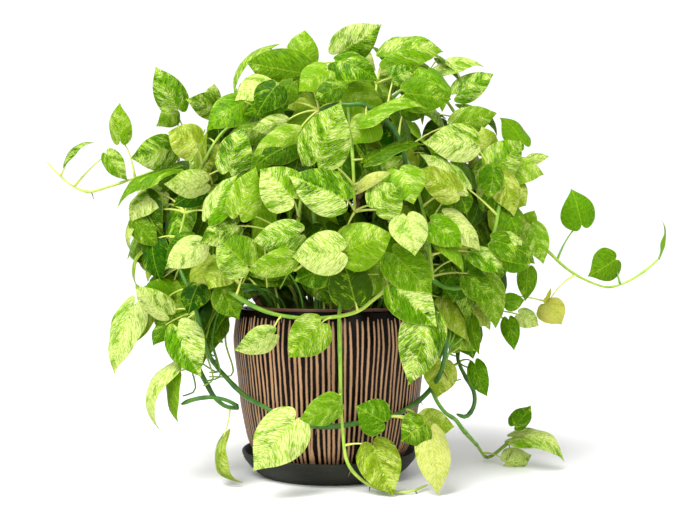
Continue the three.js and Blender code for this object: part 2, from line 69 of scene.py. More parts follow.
def add(tree, kind, settings=None, links=None):
    """One node, with its settings and its links. A setting is a socket's value, or else a property. A link
    comes from a socket, or from the first working output of a node. A socket goes by its name or number:
    a colour mix takes its share at 0 and its two colours at 6 and 7."""
    made = tree.nodes.new(kind)
    for name, value in (settings or {}).items():
        socket = name if isinstance(name, int) else made.inputs.find(name)
        if socket >= 0:
            made.inputs[socket].default_value = value
        else:
            setattr(made, name, value)
    for name, source in (links or {}).items():
        if isinstance(source, bpy.types.Node):
            source = next(output for output in source.outputs if output.enabled)
        tree.links.new(source, made.inputs[name])
    return made


def new_material(name):
    """An empty material and its node tree, with the output node in it."""
    material = bpy.data.materials.new(name)
    material.use_nodes = True
    material.node_tree.nodes.clear()
    add(material.node_tree, "ShaderNodeOutputMaterial")
    return material, material.node_tree


def show(tree, shader):
    tree.links.new(shader.outputs[0], tree.nodes["Material Output"].inputs["Surface"])


# the room: bright walls all round, and a darker ceiling, so that leaves shade the ones below them
world = bpy.data.worlds.new("white_room")
bpy.context.scene.world = world
world.use_nodes = True
sky = world.node_tree.nodes["Background"]
sky.inputs["Color"].default_value = (1, 1, 1, 1)
heading = add(world.node_tree, "ShaderNodeTexCoord")
height = add(world.node_tree, "ShaderNodeSeparateXYZ", {}, {"Vector": heading.outputs["Generated"]})
walls_to_ceiling = add(world.node_tree, "ShaderNodeMapRange", {
    "From Min": 0.4, "From Max": 0.7, "To Min": 1.1, "To Max": 0.35,
}, {"Value": height.outputs["Z"]})
world.node_tree.links.new(walls_to_ceiling.outputs[0], sky.inputs["Strength"])


def soft_lamp(name, place, target, size, watts):
    bpy.ops.object.light_add(type="AREA", location=place)
    lamp = bpy.context.object
    lamp.name = name
    lamp.data.shape = "DISK"
    lamp.data.size = size
    lamp.data.energy = watts
    lamp.rotation_euler = (Vector(target) - Vector(place)).to_track_quat("-Z", "Y").to_euler()


soft_lamp("overhead_lamp", (-0.5, -0.7, 1.9), (0, 0, 0.3), 1.1, 22)
soft_lamp("front_lamp", (0.9, -1.9, 1.1), (0, 0, 0.3), 0.9, 12)

# the lamp bank under the ceiling, which lights the whole floor evenly
bpy.ops.object.light_add(type="SUN", location=(-0.8, -1.0, 2.4))
bank = bpy.context.object
bank.name = "ceiling_bank"
bank.data.energy = 2.9
bank.data.angle = math.radians(38)
bank.rotation_euler = Vector((0.45, 0.62, -1)).to_track_quat("-Z", "Y").to_euler()

# Painted board: an even matt white that takes a soft contact shadow.
floor_paint, tree = new_material("matt_white_board")
grain = add(tree, "ShaderNodeTexNoise", {"Scale": 1 / (1.11 * mm), "Detail": 2.0})
tint = add(tree, "ShaderNodeMix", {"data_type": "RGBA", 6: paint("#fbfbfa"), 7: paint("#f6f6f5")},
           {0: grain})
board = add(tree, "ShaderNodeBsdfPrincipled", {"Roughness": 0.55, "Specular IOR Level": 0.3},
            {"Base Color": tint})
show(tree, board)

bpy.ops.mesh.primitive_plane_add(size=80, location=(0, 0, 0))
floor = bpy.context.object
floor.name = "floor"
floor.data.materials.append(floor_paint)

# ---------------------------------------------------------------- saucer
# A shallow dish of dark stoneware, thrown on a wheel and left unglazed, which the cache pot stands in.
# Its foot is flat on the floor and its wall leans outwards to a rounded rim.

saucer_outline = [
    (0, 0), (91, 0), (94, 2), (103, 10), (111, 20), (114, 28), (113, 30), (110, 30), (108.5, 27),
    (104.5, 19), (96, 9), (90, 5), (0, 5),
]


def eased(outline, reach, steps=4):
    """The outline with each corner rounded, starting up to reach millimetres before it."""
    points = [Vector(p) for p in outline]
    eased_points = [points[0]]
    for before, corner, after in zip(points, points[1:], points[2:]):
        back, on = before - corner, after - corner
        start = corner + back.normalized() * min(reach, 0.45 * back.length)
        end = corner + on.normalized() * min(reach, 0.45 * on.length)
        for k in range(steps + 1):
            t = k / steps
            eased_points.append(start * (1 - t) ** 2 + corner * 2 * t * (1 - t) + end * t**2)
    return eased_points + [points[-1]]


def turned(name, outline, facets):
    """A closed shell turned round the Z axis. Its outline runs from the axis round the wall to the axis."""
    bpy.ops.object.select_all(action="DESELECT")
    bpy.ops.mesh.primitive_plane_add(size=mm)
    piece = bpy.context.object
    piece.name = name
    piece.data.name = name
    bpy.ops.object.mode_set(mode="EDIT")
    bpy.ops.mesh.merge(type="CENTER")
    bpy.ops.transform.translate(value=(outline[0][0] * mm, 0, outline[0][1] * mm))
    for here, there in zip(outline, outline[1:]):
        step = ((there[0] - here[0]) * mm, 0, (there[1] - here[1]) * mm)
        bpy.ops.mesh.extrude_region_move(TRANSFORM_OT_translate={"value": step})
    bpy.ops.mesh.select_all(action="SELECT")
    bpy.ops.mesh.spin(steps=facets, angle=2 * math.pi, center=(0, 0, 0), axis=(0, 0, 1))
    bpy.ops.mesh.select_all(action="SELECT")
    bpy.ops.mesh.remove_doubles(threshold=0.01 * mm)
    bpy.ops.mesh.normals_make_consistent(inside=False)
    bpy.ops.object.mode_set(mode="OBJECT")
    bpy.ops.object.shade_smooth_by_angle(angle=math.radians(40))
    return piece


# Unglazed stoneware: fired clay, dark grey with a little olive in it. Turning leaves faint rings round it,
# and the bare surface scatters light evenly. Its grit is drawn coarser than it is, so that it shows.
turning_pitch = 3.49            # from one ring to the next
stoneware, tree = new_material("unglazed_dark_stoneware")
where = add(tree, "ShaderNodeTexCoord").outputs["Object"]
rings = add(tree, "ShaderNodeTexWave", {
    "wave_type": "BANDS", "bands_direction": "Z", "Scale": math.pi / 10 / (turning_pitch * mm),
    "Distortion": 1.2, "Detail": 2.0,
}, {"Vector": where})
grog = add(tree, "ShaderNodeTexNoise", {"Scale": 1 / (1.43 * mm), "Detail": 4.0}, {"Vector": where})
cloud = add(tree, "ShaderNodeTexNoise", {"Scale": 1 / (71.4 * mm), "Detail": 3.0}, {"Vector": where})
clay = add(tree, "ShaderNodeMix", {"data_type": "RGBA", 6: paint("#1b1d17"), 7: paint("#2c2d26")},
           {0: cloud})
specks = add(tree, "ShaderNodeMapRange", {"From Min": 0.62, "From Max": 0.72}, {"Value": grog})
speckled = add(tree, "ShaderNodeMix", {"data_type": "RGBA", 7: paint("#4b4b42")}, {0: specks, 6: clay})
rough = add(tree, "ShaderNodeMapRange", {"To Min": 0.5, "To Max": 0.68}, {"Value": grog})
relief = add(tree, "ShaderNodeBump", {"Strength": 0.25, "Distance": 0.3 * mm},
             {"Height": rings.outputs["Fac"]})
body = add(tree, "ShaderNodeBsdfPrincipled", {"IOR": 1.5, "Specular IOR Level": 0.15},
           {"Base Color": speckled, "Roughness": rough, "Normal": relief})
show(tree, body)

saucer = turned("saucer_dish", eased(saucer_outline, 2.0), 180)
saucer.data.materials.append(stoneware)
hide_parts("saucer")
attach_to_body(saucer, "root")

# ---------------------------------------------------------------- cache pot
# The outer pot: pale tan clay under a near-black glaze. The potter cut the glaze through with a loop
# tool, in upright stripes that wander, taper, stop short and run into each other, and left a plain band
# under the rim. The cut stripes stand as shallow flutes in the surface.

pot_outside = [
    (83, 5.3), (87, 8.3), (98, 27), (106, 43), (110, 60), (115, 85), (117, 102), (120, 130), (124, 160),
    (125, 175), (122, 198), (120, 210),
]
pot_rim = [(119.2, 211.6), (117.5, 212), (114.5, 212), (113.2, 211.2), (113, 209)]
pot_inside = [(117, 175), (109.5, 102), (102, 50), (88, 20), (82, 14.3), (0, 14.3)]
pot_facets = 720
stripe_count = 112
stripe_relief = 0.45


def evenly(points, spacing):
    """Points about spacing apart along the line of straight stretches through the given ones."""
    ends = [0.0]
    for a, b in zip(points, points[1:]):
        ends.append(ends[-1] + (b - a).length)
    count = round(ends[-1] / spacing)
    spaced, k = [], 0
    for n in range(count + 1):
        goal = ends[-1] * n / count
        while k < len(points) - 2 and ends[k + 1] < goal:
            k += 1
        share = (goal - ends[k]) / max(ends[k + 1] - ends[k], 1e-9)
        spaced.append(points[k].lerp(points[k + 1], min(share, 1)))
    return spaced


class Draw:
    """A repeatable series of random numbers, the same in every run."""

    def __init__(self, seed):
        self.seed = seed

    def between(self, low, high):
        self.seed = (self.seed * 16807) % 2147483647
        return low + (high - low) * self.seed / 2147483647


def cut_stripes():
    """Each stripe round the pot: its angle, half width, wander and lean, and where it starts and ends."""
    draw = Draw(2024)
    stripes = []
    for k in range(stripe_count):
        angle = 2 * math.pi * (k + draw.between(-0.12, 0.12)) / stripe_count
        half = draw.between(1.45, 2.0)
        wander = [(draw.between(0.1, 0.5), draw.between(80, 170), draw.between(0, 6.3)),
                  (draw.between(0.05, 0.16), draw.between(20, 36), draw.between(0, 6.3))]
        lean = draw.between(-1.0, 1.0) / 100
        low, high = draw.between(0, 9), draw.between(201, 206)
        gap_at, kind = draw.between(50, 150), draw.between(0, 1)
        if kind < 0.06:
            low = 0.4 * gap_at
        elif kind < 0.26:
            lean *= 4
        stripes.append((angle, half, wander, lean, low, high))
    # a broad wedge low on the front, where two strokes ran together
    stripes.append((math.radians(-102), 3.6, [(0.3, 60, 0)], 0.02, 4, 46))
    return stripes


stripes = cut_stripes()


def stripe_depth(angle, height, radius):
    """How far inside a cut stripe a spot on the pot is, in millimetres, and below zero outside them all."""
    best = -4.0
    near = round((angle % (2 * math.pi)) / (2 * math.pi) * stripe_count)
    picked = [stripes[(near + k) % stripe_count] for k in (-2, -1, 0, 1, 2)] + stripes[stripe_count:]
    for centre, half, wander, lean, low, high in picked:
        if not low < height < high:
            continue
        apart = (angle - centre + math.pi) % (2 * math.pi) - math.pi
        across = apart * radius + lean * (height - 110)
        for size, length, phase in wander:
            across += size * math.sin(2 * math.pi * height / length + phase)
        end = min(height - low, high - height)
        width = half * min(1.0, 0.6 + end / 24) * (0.55 + 0.45 * radius / 125)
        width *= 1 + 0.1 * math.sin(height / 19 + centre * 37)
        if end < width:
            width *= math.sqrt(max(0.0, 1 - (1 - end / width) ** 2))
        best = max(best, width - abs(across))
    return best


smooth_outside = eased(pot_outside, 12, 5)
outline = [Vector((0, 5.3)), *evenly(smooth_outside, 2.4)]
outer_points = len(outline)
outline += eased([pot_outside[-1], *pot_rim, *pot_inside], 1.0, 2)[1:]
cache_pot = turned("cache_pot_body", outline, pot_facets)

cut = cache_pot.data.attributes.new("cut_depth", "FLOAT", "POINT")
outwards = [spot.normal.copy() for spot in cache_pot.data.vertices]
for spot, out in zip(cache_pot.data.vertices, outwards):
    x, y, z = spot.co / mm
    radius = math.hypot(x, y)
    outer = radius > 84 and out.dot(Vector((x, y, 0)).normalized()) > 0.3
    depth = stripe_depth(math.atan2(y, x), z, radius) if outer and z < 208 else -4.0
    cut.data[spot.index].value = depth
    if depth > -1:
        rise = min(1.0, (depth + 1) / 2)
        spot.co += out * (rise * rise * (3 - 2 * rise) - 0.5) * stripe_relief * mm

# Glazed stoneware: a smooth near-black glaze over tan clay. Where the glaze is cut away the clay is dry
# and rougher, a little pink, and darker at the edges where glaze has crept back.
glaze, tree = new_material("black_glaze_cut_to_clay")
where = add(tree, "ShaderNodeTexCoord").outputs["Object"]
depth = add(tree, "ShaderNodeAttribute", {"attribute_name": "cut_depth"})
ragged = add(tree, "ShaderNodeTexNoise", {"Scale": 1 / (2.38 * mm), "Detail": 3.0}, {"Vector": where})
edge = add(tree, "ShaderNodeMath", {"operation": "MULTIPLY_ADD", 1: 0.9, 2: -0.45}, {0: ragged})
inside = add(tree, "ShaderNodeMath", {"operation": "ADD"}, {0: depth.outputs["Fac"], 1: edge})
bare = add(tree, "ShaderNodeMapRange", {"From Min": -0.22, "From Max": 0.28}, {"Value": inside})
core = add(tree, "ShaderNodeMapRange", {"From Min": 0.1, "From Max": 1.1}, {"Value": inside})
flow = add(tree, "ShaderNodeMapping", {"Scale": (1.0, 1.0, 0.12)}, {"Vector": where})
streaks = add(tree, "ShaderNodeTexNoise", {"Scale": 1 / (6.25 * mm), "Detail": 4.0}, {"Vector": flow})
clay = add(tree, "ShaderNodeMix", {"data_type": "RGBA", 6: paint("#93704f"), 7: paint("#c79f78")},
           {0: streaks})
shaded = add(tree, "ShaderNodeMix", {"data_type": "RGBA", 6: paint("#6b5040")}, {0: core, 7: clay})
black = add(tree, "ShaderNodeMix", {"data_type": "RGBA", 6: paint("#050302"), 7: paint("#0f0a07")},
            {0: streaks})
colour = add(tree, "ShaderNodeMix", {"data_type": "RGBA"}, {0: bare, 6: black, 7: shaded})
rough = add(tree, "ShaderNodeMapRange", {"To Min": 0.24, "To Max": 0.6}, {"Value": bare})
relief = add(tree, "ShaderNodeBump", {"Strength": 0.35, "Distance": 0.3 * mm}, {"Height": streaks})
body = add(tree, "ShaderNodeBsdfPrincipled", {"IOR": 1.5, "Specular IOR Level": 0.06},
           {"Base Color": colour, "Roughness": rough, "Normal": relief})
show(tree, body)

cache_pot.data.materials.append(glaze)
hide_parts("cache_pot")
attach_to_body(cache_pot, "root")

# ---------------------------------------------------------------- grow pot
# The plant's own pot, of thin brown polypropylene, moulded in one piece with a turned-out lip and six
# drain holes in its floor. It stands loose inside the cache pot, and its lip just shows above the rim.

grow_outline = [
    (0, 14.6), (76, 14.6), (78, 17), (103.6, 204.6), (104, 206), (106.4, 206), (107, 207), (107, 214),
    (106.2, 215), (102.8, 215), (102, 214), (76, 17.6), (74.5, 16.6), (0, 16.6),
]
drain_holes, drain_radius, drain_ring = 6, 6, 50
grow_pot = turned("grow_pot_shell", eased(grow_outline, 0.8, 2), 120)
for k in range(drain_holes):
    angle = 2 * math.pi * k / drain_holes
    spot = Vector((drain_ring * math.cos(angle), drain_ring * math.sin(angle), grow_outline[0][1]))
    bpy.ops.mesh.primitive_cylinder_add(
        vertices=24, radius=drain_radius * mm, depth=12 * mm, location=spot * mm,
    )
    drill = bpy.context.object
    bpy.context.view_layer.objects.active = grow_pot
    hole = grow_pot.modifiers.new("drain_hole", "BOOLEAN")
    hole.operation, hole.object, hole.solver = "DIFFERENCE", drill, "EXACT"
    bpy.ops.object.modifier_apply(modifier=hole.name)
    bpy.data.objects.remove(drill)

# Moulded polypropylene: warm brown, satin, with the fine haze of a cheap mould and scuffs round the lip.
plastic, tree = new_material("moulded_brown_polypropylene")
where = add(tree, "ShaderNodeTexCoord").outputs["Object"]
haze = add(tree, "ShaderNodeTexNoise", {"Scale": 1 / (18.2 * mm), "Detail": 5.0}, {"Vector": where})
scuffs = add(tree, "ShaderNodeTexNoise", {"Scale": 1 / (2.38 * mm), "Detail": 2.0}, {"Vector": where})
colour = add(tree, "ShaderNodeMix", {"data_type": "RGBA", 6: paint("#5a3522"), 7: paint("#7d5137")},
             {0: haze})
rough = add(tree, "ShaderNodeMapRange", {"To Min": 0.34, "To Max": 0.6}, {"Value": scuffs})
relief = add(tree, "ShaderNodeBump", {"Strength": 0.2, "Distance": 0.1 * mm}, {"Height": scuffs})
body = add(tree, "ShaderNodeBsdfPrincipled", {"IOR": 1.49},
           {"Base Color": colour, "Roughness": rough, "Normal": relief})
show(tree, body)

grow_pot.data.materials.append(plastic)
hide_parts("grow_pot")
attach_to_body(grow_pot, "root")

# ---------------------------------------------------------------- potting soil
# A peat mix packed into the grow pot, round the roots, which stay unseen inside it. Its top is lumpy,
# with loose crumbs of peat and bark, and there are white grains of perlite in it.

soil_top = 195
soil_rings = [(r, soil_top) for r in range(92, 0, -4)]
soil_outline = [(0, 17.0), (75, 17.0), (98, 192), *soil_rings, (0, soil_top)]
soil = turned("potting_mix", [Vector(p) for p in soil_outline], 110)
for spot in soil.data.vertices:
    if spot.co.z > 191 * mm:
        lumps = noise.fractal(spot.co * 110, 0.6, 2.0, 4)
        spot.co.z += (lumps - 0.35) * 2.6 * mm

draw = Draw(77)
bpy.ops.mesh.primitive_ico_sphere_add(subdivisions=1, radius=1)
crumb = bpy.context.object
crumb_count, crumbs = 240, []
for k in range(crumb_count):
    angle, radius = draw.between(0, 6.283), 90 * math.sqrt(draw.between(0, 1))
    size = draw.between(1.0, 2.6)
    copy = bpy.data.objects.new(f"crumb_{k}", crumb.data.copy())
    bpy.context.scene.collection.objects.link(copy)
    for spot in copy.data.vertices:
        spot.co *= draw.between(0.75, 1.25)
    place_at = Vector((radius * math.cos(angle), radius * math.sin(angle), soil_top + 0.2)) * mm
    turn = Matrix.Rotation(draw.between(0, 6.283), 4, "Z")
    shape = Matrix.Diagonal((size * 1.3 * mm, size * mm, size * 0.7 * mm, 1))
    copy.data.transform(Matrix.Translation(place_at) @ turn @ shape)
    crumbs.append(copy)
bpy.data.objects.remove(crumb)
bpy.ops.object.select_all(action="DESELECT")
for copy in crumbs:
    copy.select_set(True)
soil.select_set(True)
bpy.context.view_layer.objects.active = soil
bpy.ops.object.join()

# Damp peat: dark brown and rough, with paler fibres and a few white grains of perlite.
peat, tree = new_material("damp_peat_mix")
where = add(tree, "ShaderNodeTexCoord").outputs["Object"]
grains = add(tree, "ShaderNodeTexVoronoi", {"Scale": 1 / (3.85 * mm)}, {"Vector": where})
fibre = add(tree, "ShaderNodeTexNoise", {"Scale": 1 / (2.94 * mm), "Detail": 5.0}, {"Vector": where})
earth = add(tree, "ShaderNodeMix", {"data_type": "RGBA", 6: paint("#1d140d"), 7: paint("#5a4330")},
            {0: fibre})
pick = add(tree, "ShaderNodeSeparateColor", {}, {"Color": grains.outputs["Color"]})
white = add(tree, "ShaderNodeMath", {"operation": "GREATER_THAN", 1: 0.93}, {0: pick.outputs["Red"]})
colour = add(tree, "ShaderNodeMix", {"data_type": "RGBA", 7: paint("#cfc8bb")}, {0: white, 6: earth})
relief = add(tree, "ShaderNodeBump", {"Strength": 0.8, "Distance": 1.0 * mm}, {"Height": fibre})
body = add(tree, "ShaderNodeBsdfPrincipled", {"Roughness": 0.92, "Specular IOR Level": 0.25},
           {"Base Color": colour, "Normal": relief})
show(tree, body)

soil.data.materials.append(peat)
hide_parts("potting_soil")
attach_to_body(soil, "root")

# ---------------------------------------------------------------- canes
# Two supports of peeled rattan pushed into the soil: one bent to a hoop, which the longest vines climb
# over, and a straight one that leans against it. Each has a raised ring at every joint of the cane.

cane_radius = 4.4
ring_spacing = 34
cane_bottom = soil_top - 4
hoop_middle, hoop_radius = Vector((-28, -18, 339)), 117


def through(points):
    """A smooth line through the points, as a function of a share of it from 0 to 1."""
    ends = [2 * points[0] - points[1], *points, 2 * points[-1] - points[-2]]
    spans = len(points) - 1

    def at(share):
        place = max(0.0, min(share, 1.0)) * spans
        k = min(int(place), spans - 1)
        t = place - k
        p0, p1, p2, p3 = ends[k : k + 4]
        d0, d1, d2 = (max((b - a).length, 1e-6) ** 0.5 for a, b in ((p0, p1), (p1, p2), (p2, p3)))
        out = ((p1 - p0) / d0 - (p2 - p0) / (d0 + d1) + (p2 - p1) / d1) * d1
        into = ((p2 - p1) / d1 - (p3 - p1) / (d1 + d2) + (p3 - p2) / d2) * d1
        return (p1 + out * t + (3 * (p2 - p1) - 2 * out - into) * t**2
                + (2 * (p1 - p2) + out + into) * t**3)

    return at


def spaced(line, count):
    """count stretches of equal length along a smooth line, as count + 1 points, and its whole length."""
    fine = [line(k / 200) for k in range(201)]
    run = [0.0]
    for a, b in zip(fine, fine[1:]):
        run.append(run[-1] + (b - a).length)
    points, k = [], 0
    for n in range(count + 1):
        goal = run[-1] * n / count
        while k < 199 and run[k + 1] < goal:
            k += 1
        points.append(line((k + (goal - run[k]) / max(run[k + 1] - run[k], 1e-9)) / 200))
    return points, run[-1]


def tubes(name, runs, sides):
    """Closed round tubes as one mesh. A run is a list of (point, radius, age), in millimetres. Their faces
    are laid in code, because each ring of a tube keeps its own age and its own length along the tube."""
    spots, faces, ages, lengths = [], [], [], []
    for run in runs:
        start, along = len(spots), 0.0
        side = None
        for k, (point, radius, age) in enumerate(run):
            ahead = (run[min(k + 1, len(run) - 1)][0] - run[max(k - 1, 0)][0]).normalized()
            if side is None:
                side = ahead.orthogonal().normalized()
            side = (side - ahead * side.dot(ahead)).normalized()
            over = ahead.cross(side)
            along += (point - run[max(k - 1, 0)][0]).length
            for j in range(sides):
                angle = 2 * math.pi * j / sides
                spot = point + (side * math.cos(angle) + over * math.sin(angle)) * radius
                spots.append(Vector((spot.x, spot.y, max(spot.z, 0.8))) * mm)
                ages.append(age)
                lengths.append(along)
        for k in range(len(run) - 1):
            for j in range(sides):
                a, b = start + k * sides + j, start + k * sides + (j + 1) % sides
                faces.append((a, b, b + sides, a + sides))
        last = start + (len(run) - 1) * sides
        faces.append([start + j for j in reversed(range(sides))])
        faces.append([last + j for j in range(sides)])
    mesh = bpy.data.meshes.new(name)
    mesh.from_pydata(spots, [], faces)
    mesh.attributes.new("age", "FLOAT", "POINT").data.foreach_set("value", ages)
    mesh.attributes.new("along", "FLOAT", "POINT").data.foreach_set("value", lengths)
    mesh.shade_smooth()
    piece = bpy.data.objects.new(name, mesh)
    bpy.context.scene.collection.objects.link(piece)
    return piece


def cane_run(points):
    """A cane with a raised ring at each of its joints."""
    run, along = [], 0.0
    for k, point in enumerate(points):
        along += (point - points[max(k - 1, 0)]).length
        from_ring = abs((along + ring_spacing / 2) % ring_spacing - ring_spacing / 2)
        run.append((point, cane_radius + 0.5 * math.exp(-((from_ring / 1.6) ** 2)), 0.5))
    return run


hoop_points = [Vector((62, -10, cane_bottom))]
for k in range(11):
    angle = -0.35 + k / 10 * (math.pi + 0.7)
    hoop_points.append(hoop_middle + Vector((math.cos(angle), 0, math.sin(angle))) * hoop_radius)
hoop_points.append(Vector((-74, -10, cane_bottom)))
cane_hoop = tubes("bent_cane_hoop", [cane_run(spaced(through(hoop_points), 420)[0])], 14)

cane_foot, cane_tip = Vector((-4, 16, cane_bottom)), Vector((64, -52, 462))
straight_points = [cane_foot.lerp(cane_tip, k / 200) for k in range(201)]
straight_cane = tubes("straight_cane_stick", [cane_run(straight_points)], 14)

# Peeled rattan: pinkish tan with a waxy skin, blotched, flecked with the ends of fibres, and darker at
# each ring. The flecks are drawn coarser than they are, so that they show.
rattan, tree = new_material("peeled_rattan")
where = add(tree, "ShaderNodeTexCoord").outputs["Object"]
along = add(tree, "ShaderNodeAttribute", {"attribute_name": "along"}).outputs["Fac"]
joint = add(tree, "ShaderNodeMath", {"operation": "PINGPONG", 1: ring_spacing / 2}, {0: along})
at_ring = add(tree, "ShaderNodeMapRange", {"From Min": 0.4, "From Max": 3.2, "To Min": 1.0, "To Max": 0.0},
              {"Value": joint})
fibre = add(tree, "ShaderNodeTexNoise", {"Scale": 1 / (1.11 * mm), "Detail": 3.0}, {"Vector": where})
blotch = add(tree, "ShaderNodeTexNoise", {"Scale": 1 / (16.7 * mm), "Detail": 3.0}, {"Vector": where})
skin = add(tree, "ShaderNodeMix", {"data_type": "RGBA", 6: paint("#a9714c"), 7: paint("#dcb08a")},
           {0: blotch})
lines = add(tree, "ShaderNodeMapRange", {"From Min": 0.5, "From Max": 0.8, "To Max": 0.5}, {"Value": fibre})
grain = add(tree, "ShaderNodeMix", {"data_type": "RGBA", 7: paint("#8a5a3a")}, {0: lines, 6: skin})
colour = add(tree, "ShaderNodeMix", {"data_type": "RGBA", 7: paint("#6b4128")}, {0: at_ring, 6: grain})
relief = add(tree, "ShaderNodeBump", {"Strength": 0.3, "Distance": 0.2 * mm}, {"Height": fibre})
body = add(tree, "ShaderNodeBsdfPrincipled", {"Roughness": 0.42, "IOR": 1.5},
           {"Base Color": colour, "Normal": relief})
show(tree, body)

for cane, node in ((cane_hoop, "cane_hoop"), (straight_cane, "straight_cane")):
    cane.data.materials.append(rattan)
    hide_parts(node)
    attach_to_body(cane, "root")

# ---------------------------------------------------------------- where the vines run
# Fleshy stems rooted in the soil. The charted ones are given as seen from the front: u across and w up on
# the upright plane through the pot's axis, and y the real depth, which place() turns into a real point.
# The arched ones rise out of the pot and fall outwards all round it.

chart_eye = Vector((20, -1350, 278))


def place(u, w, y):
    spread = (y - chart_eye.y) / -chart_eye.y
    return Vector((chart_eye.x + (u - chart_eye.x) * spread, y, chart_eye.z + (w - chart_eye.z) * spread))


# each charted vine: its root in the soil (x, y), its age at the root and at the tip, and its way (u, w, y)
charted_vines = [
    # along the front of the rim, from left to right
    ((-62, -36), 0.85, 0.12, [
        (-92, 236, -62), (-132, 236, -112), (-122, 227, -138), (-92, 210, -143), (-62, 201, -143),
        (-20, 198, -143), (15, 201, -143), (38, 208, -143), (55, 221, -143), (72, 234, -143),
        (87, 249, -143)]),
    # straight down the front of the pot and along the floor
    ((22, -48), 0.6, 0.1, [
        (20, 240, -84), (15, 224, -118), (12, 204, -130), (13, 150, -134), (14, 98, -136), (16, 58, -136),
        (22, 12, -136), (34, -6, -134), (60, -23, -126), (100, -28, -142), (126, -19, -108)]),
    # over the right of the rim, low across the front of the pot and up into the left side
    ((78, -22), 0.95, 0.85, [
        (112, 228, -50), (138, 206, -92), (150, 168, -98), (146, 134, -84), (134, 110, -62), (116, 91, -52),
        (84, 72, -96), (45, 63, -118), (0, 57, -124), (-40, 61, -120), (-88, 84, -96), (-112, 98, -66),
        (-136, 122, -66), (-156, 148, -88), (-166, 180, -97), (-180, 226, -92), (-196, 264, -80)]),
    # the dark loops left of the pot
    ((-80, 24), 1.0, 0.85, [
        (-100, 250, 16), (-138, 236, -6), (-164, 208, -42), (-176, 170, -62), (-171, 135, -66),
        (-160, 112, -68), (-150, 95, -70), (-135, 83, -73), (-119, 82, -79), (-134, 91, -86),
        (-156, 95, -88), (-178, 92, -86), (-193, 86, -84)]),
    # down the right side to the floor, then up again at its growing tip
    ((86, 6), 0.95, 0.3, [
        (106, 236, 4), (132, 230, 0), (153, 206, -10), (150, 175, -30), (140, 142, -46), (131, 115, -56),
        (137, 94, -58), (149, 76, -54), (163, 66, -40), (172, 54, -20), (190, 34, 26), (206, 17, 68),
        (222, 28, 56), (240, 43, 40), (252, 50, 30)]),
    # the second right-hand stem, which ends against the first
    ((70, 34), 0.95, 0.85, [
        (126, 236, 24), (160, 210, 14), (167, 175, 2), (166, 145, -6), (176, 122, -10), (187, 102, -12),
        (187, 84, -14), (177, 70, -20), (165, 73, -28)]),
    # the right tendril
    ((62, 2), 0.5, 0.25, [
        (100, 262, 2), (160, 318, 10), (220, 318, 15), (262, 300, 18), (283, 285, 20), (302, 267, 20),
        (320, 254, 20), (345, 242, 20), (360, 238, 20), (376, 241, 20), (395, 250, 20), (415, 264, 20),
        (428, 276, 20)]),
    # the left tendril
    ((-46, 18), 0.5, 0.05, [
        (-70, 280, 12), (-120, 358, 6), (-170, 394, 2), (-205, 398, 0), (-232, 388, 0), (-262, 377, 0),
        (-290, 368, 0), (-313, 362, 2), (-332, 368, 14), (-350, 382, 28), (-368, 401, 38)]),
    # up the right side
    ((50, -42), 0.8, 0.4, [
        (98, 262, -62), (158, 236, -92), (194, 250, -94), (207, 285, -92), (214, 312, -90), (221, 348, -85),
        (232, 378, -70), (240, 408, -50)]),
    # up the middle to the highest leaves
    ((10, -12), 0.5, 0.1, [
        (15, 290, -24), (24, 380, -50), (36, 440, -76), (52, 475, -80), (60, 502, -66), (40, 524, -50),
        (12, 528, -44)]),
    # the dark stem across the top
    ((34, 22), 0.95, 0.9, [
        (84, 300, -40), (98, 400, -98), (78, 450, -132), (56, 467, -146), (42, 476, -150), (25, 475, -150),
        (8, 476, -144), (-14, 468, -130)]),
]

# each arched vine: its heading in degrees from +X, root radius, height of the arch, how far out its tip
# hangs and how high it ends
arched_vines = [
    (208, 48, 440, 205, 300), (236, 30, 500, 150, 420), (256, 62, 372, 158, 262), (282, 40, 462, 150, 330),
    (318, 64, 400, 168, 250), (2, 42, 505, 190, 400), (34, 74, 430, 215, 215), (62, 50, 520, 185, 330),
    (92, 76, 400, 205, 180), (122, 52, 500, 190, 290), (158, 76, 420, 225, 200),
]


stem_foot = soil_top + 0.3      # stems start level, just clear of the soil


def arch(heading, root_radius, top, reach, end):
    angle = math.radians(heading)
    span = reach - root_radius
    way = [
        (root_radius, stem_foot), (root_radius + 4, 0.6 * stem_foot + 0.4 * top),
        (root_radius + 0.25 * span, top - 24), (root_radius + 0.55 * span, top),
        (root_radius + 0.85 * span, 0.55 * top + 0.45 * end), (reach, end),
    ]
    return [Vector((r * math.cos(angle), r * math.sin(angle), z)) for r, z in way]


vine_lines, vine_ages = [], []
for (x, y), root_age, tip_age, way in charted_vines:
    vine_lines.append(through([Vector((x, y, stem_foot)), *(place(*entry) for entry in way)]))
    vine_ages.append((root_age, tip_age))
for entry in arched_vines:
    vine_lines.append(through(arch(*entry)))
    vine_ages.append((0.75, 0.25))

# ---------------------------------------------------------------- where the leaves sit
# Each leaf has a stalk that leaves a vine at one of its nodes. The leaves that show from the front are
# charted one by one. More grow along the arched vines, round the back, and others fill the canopy.

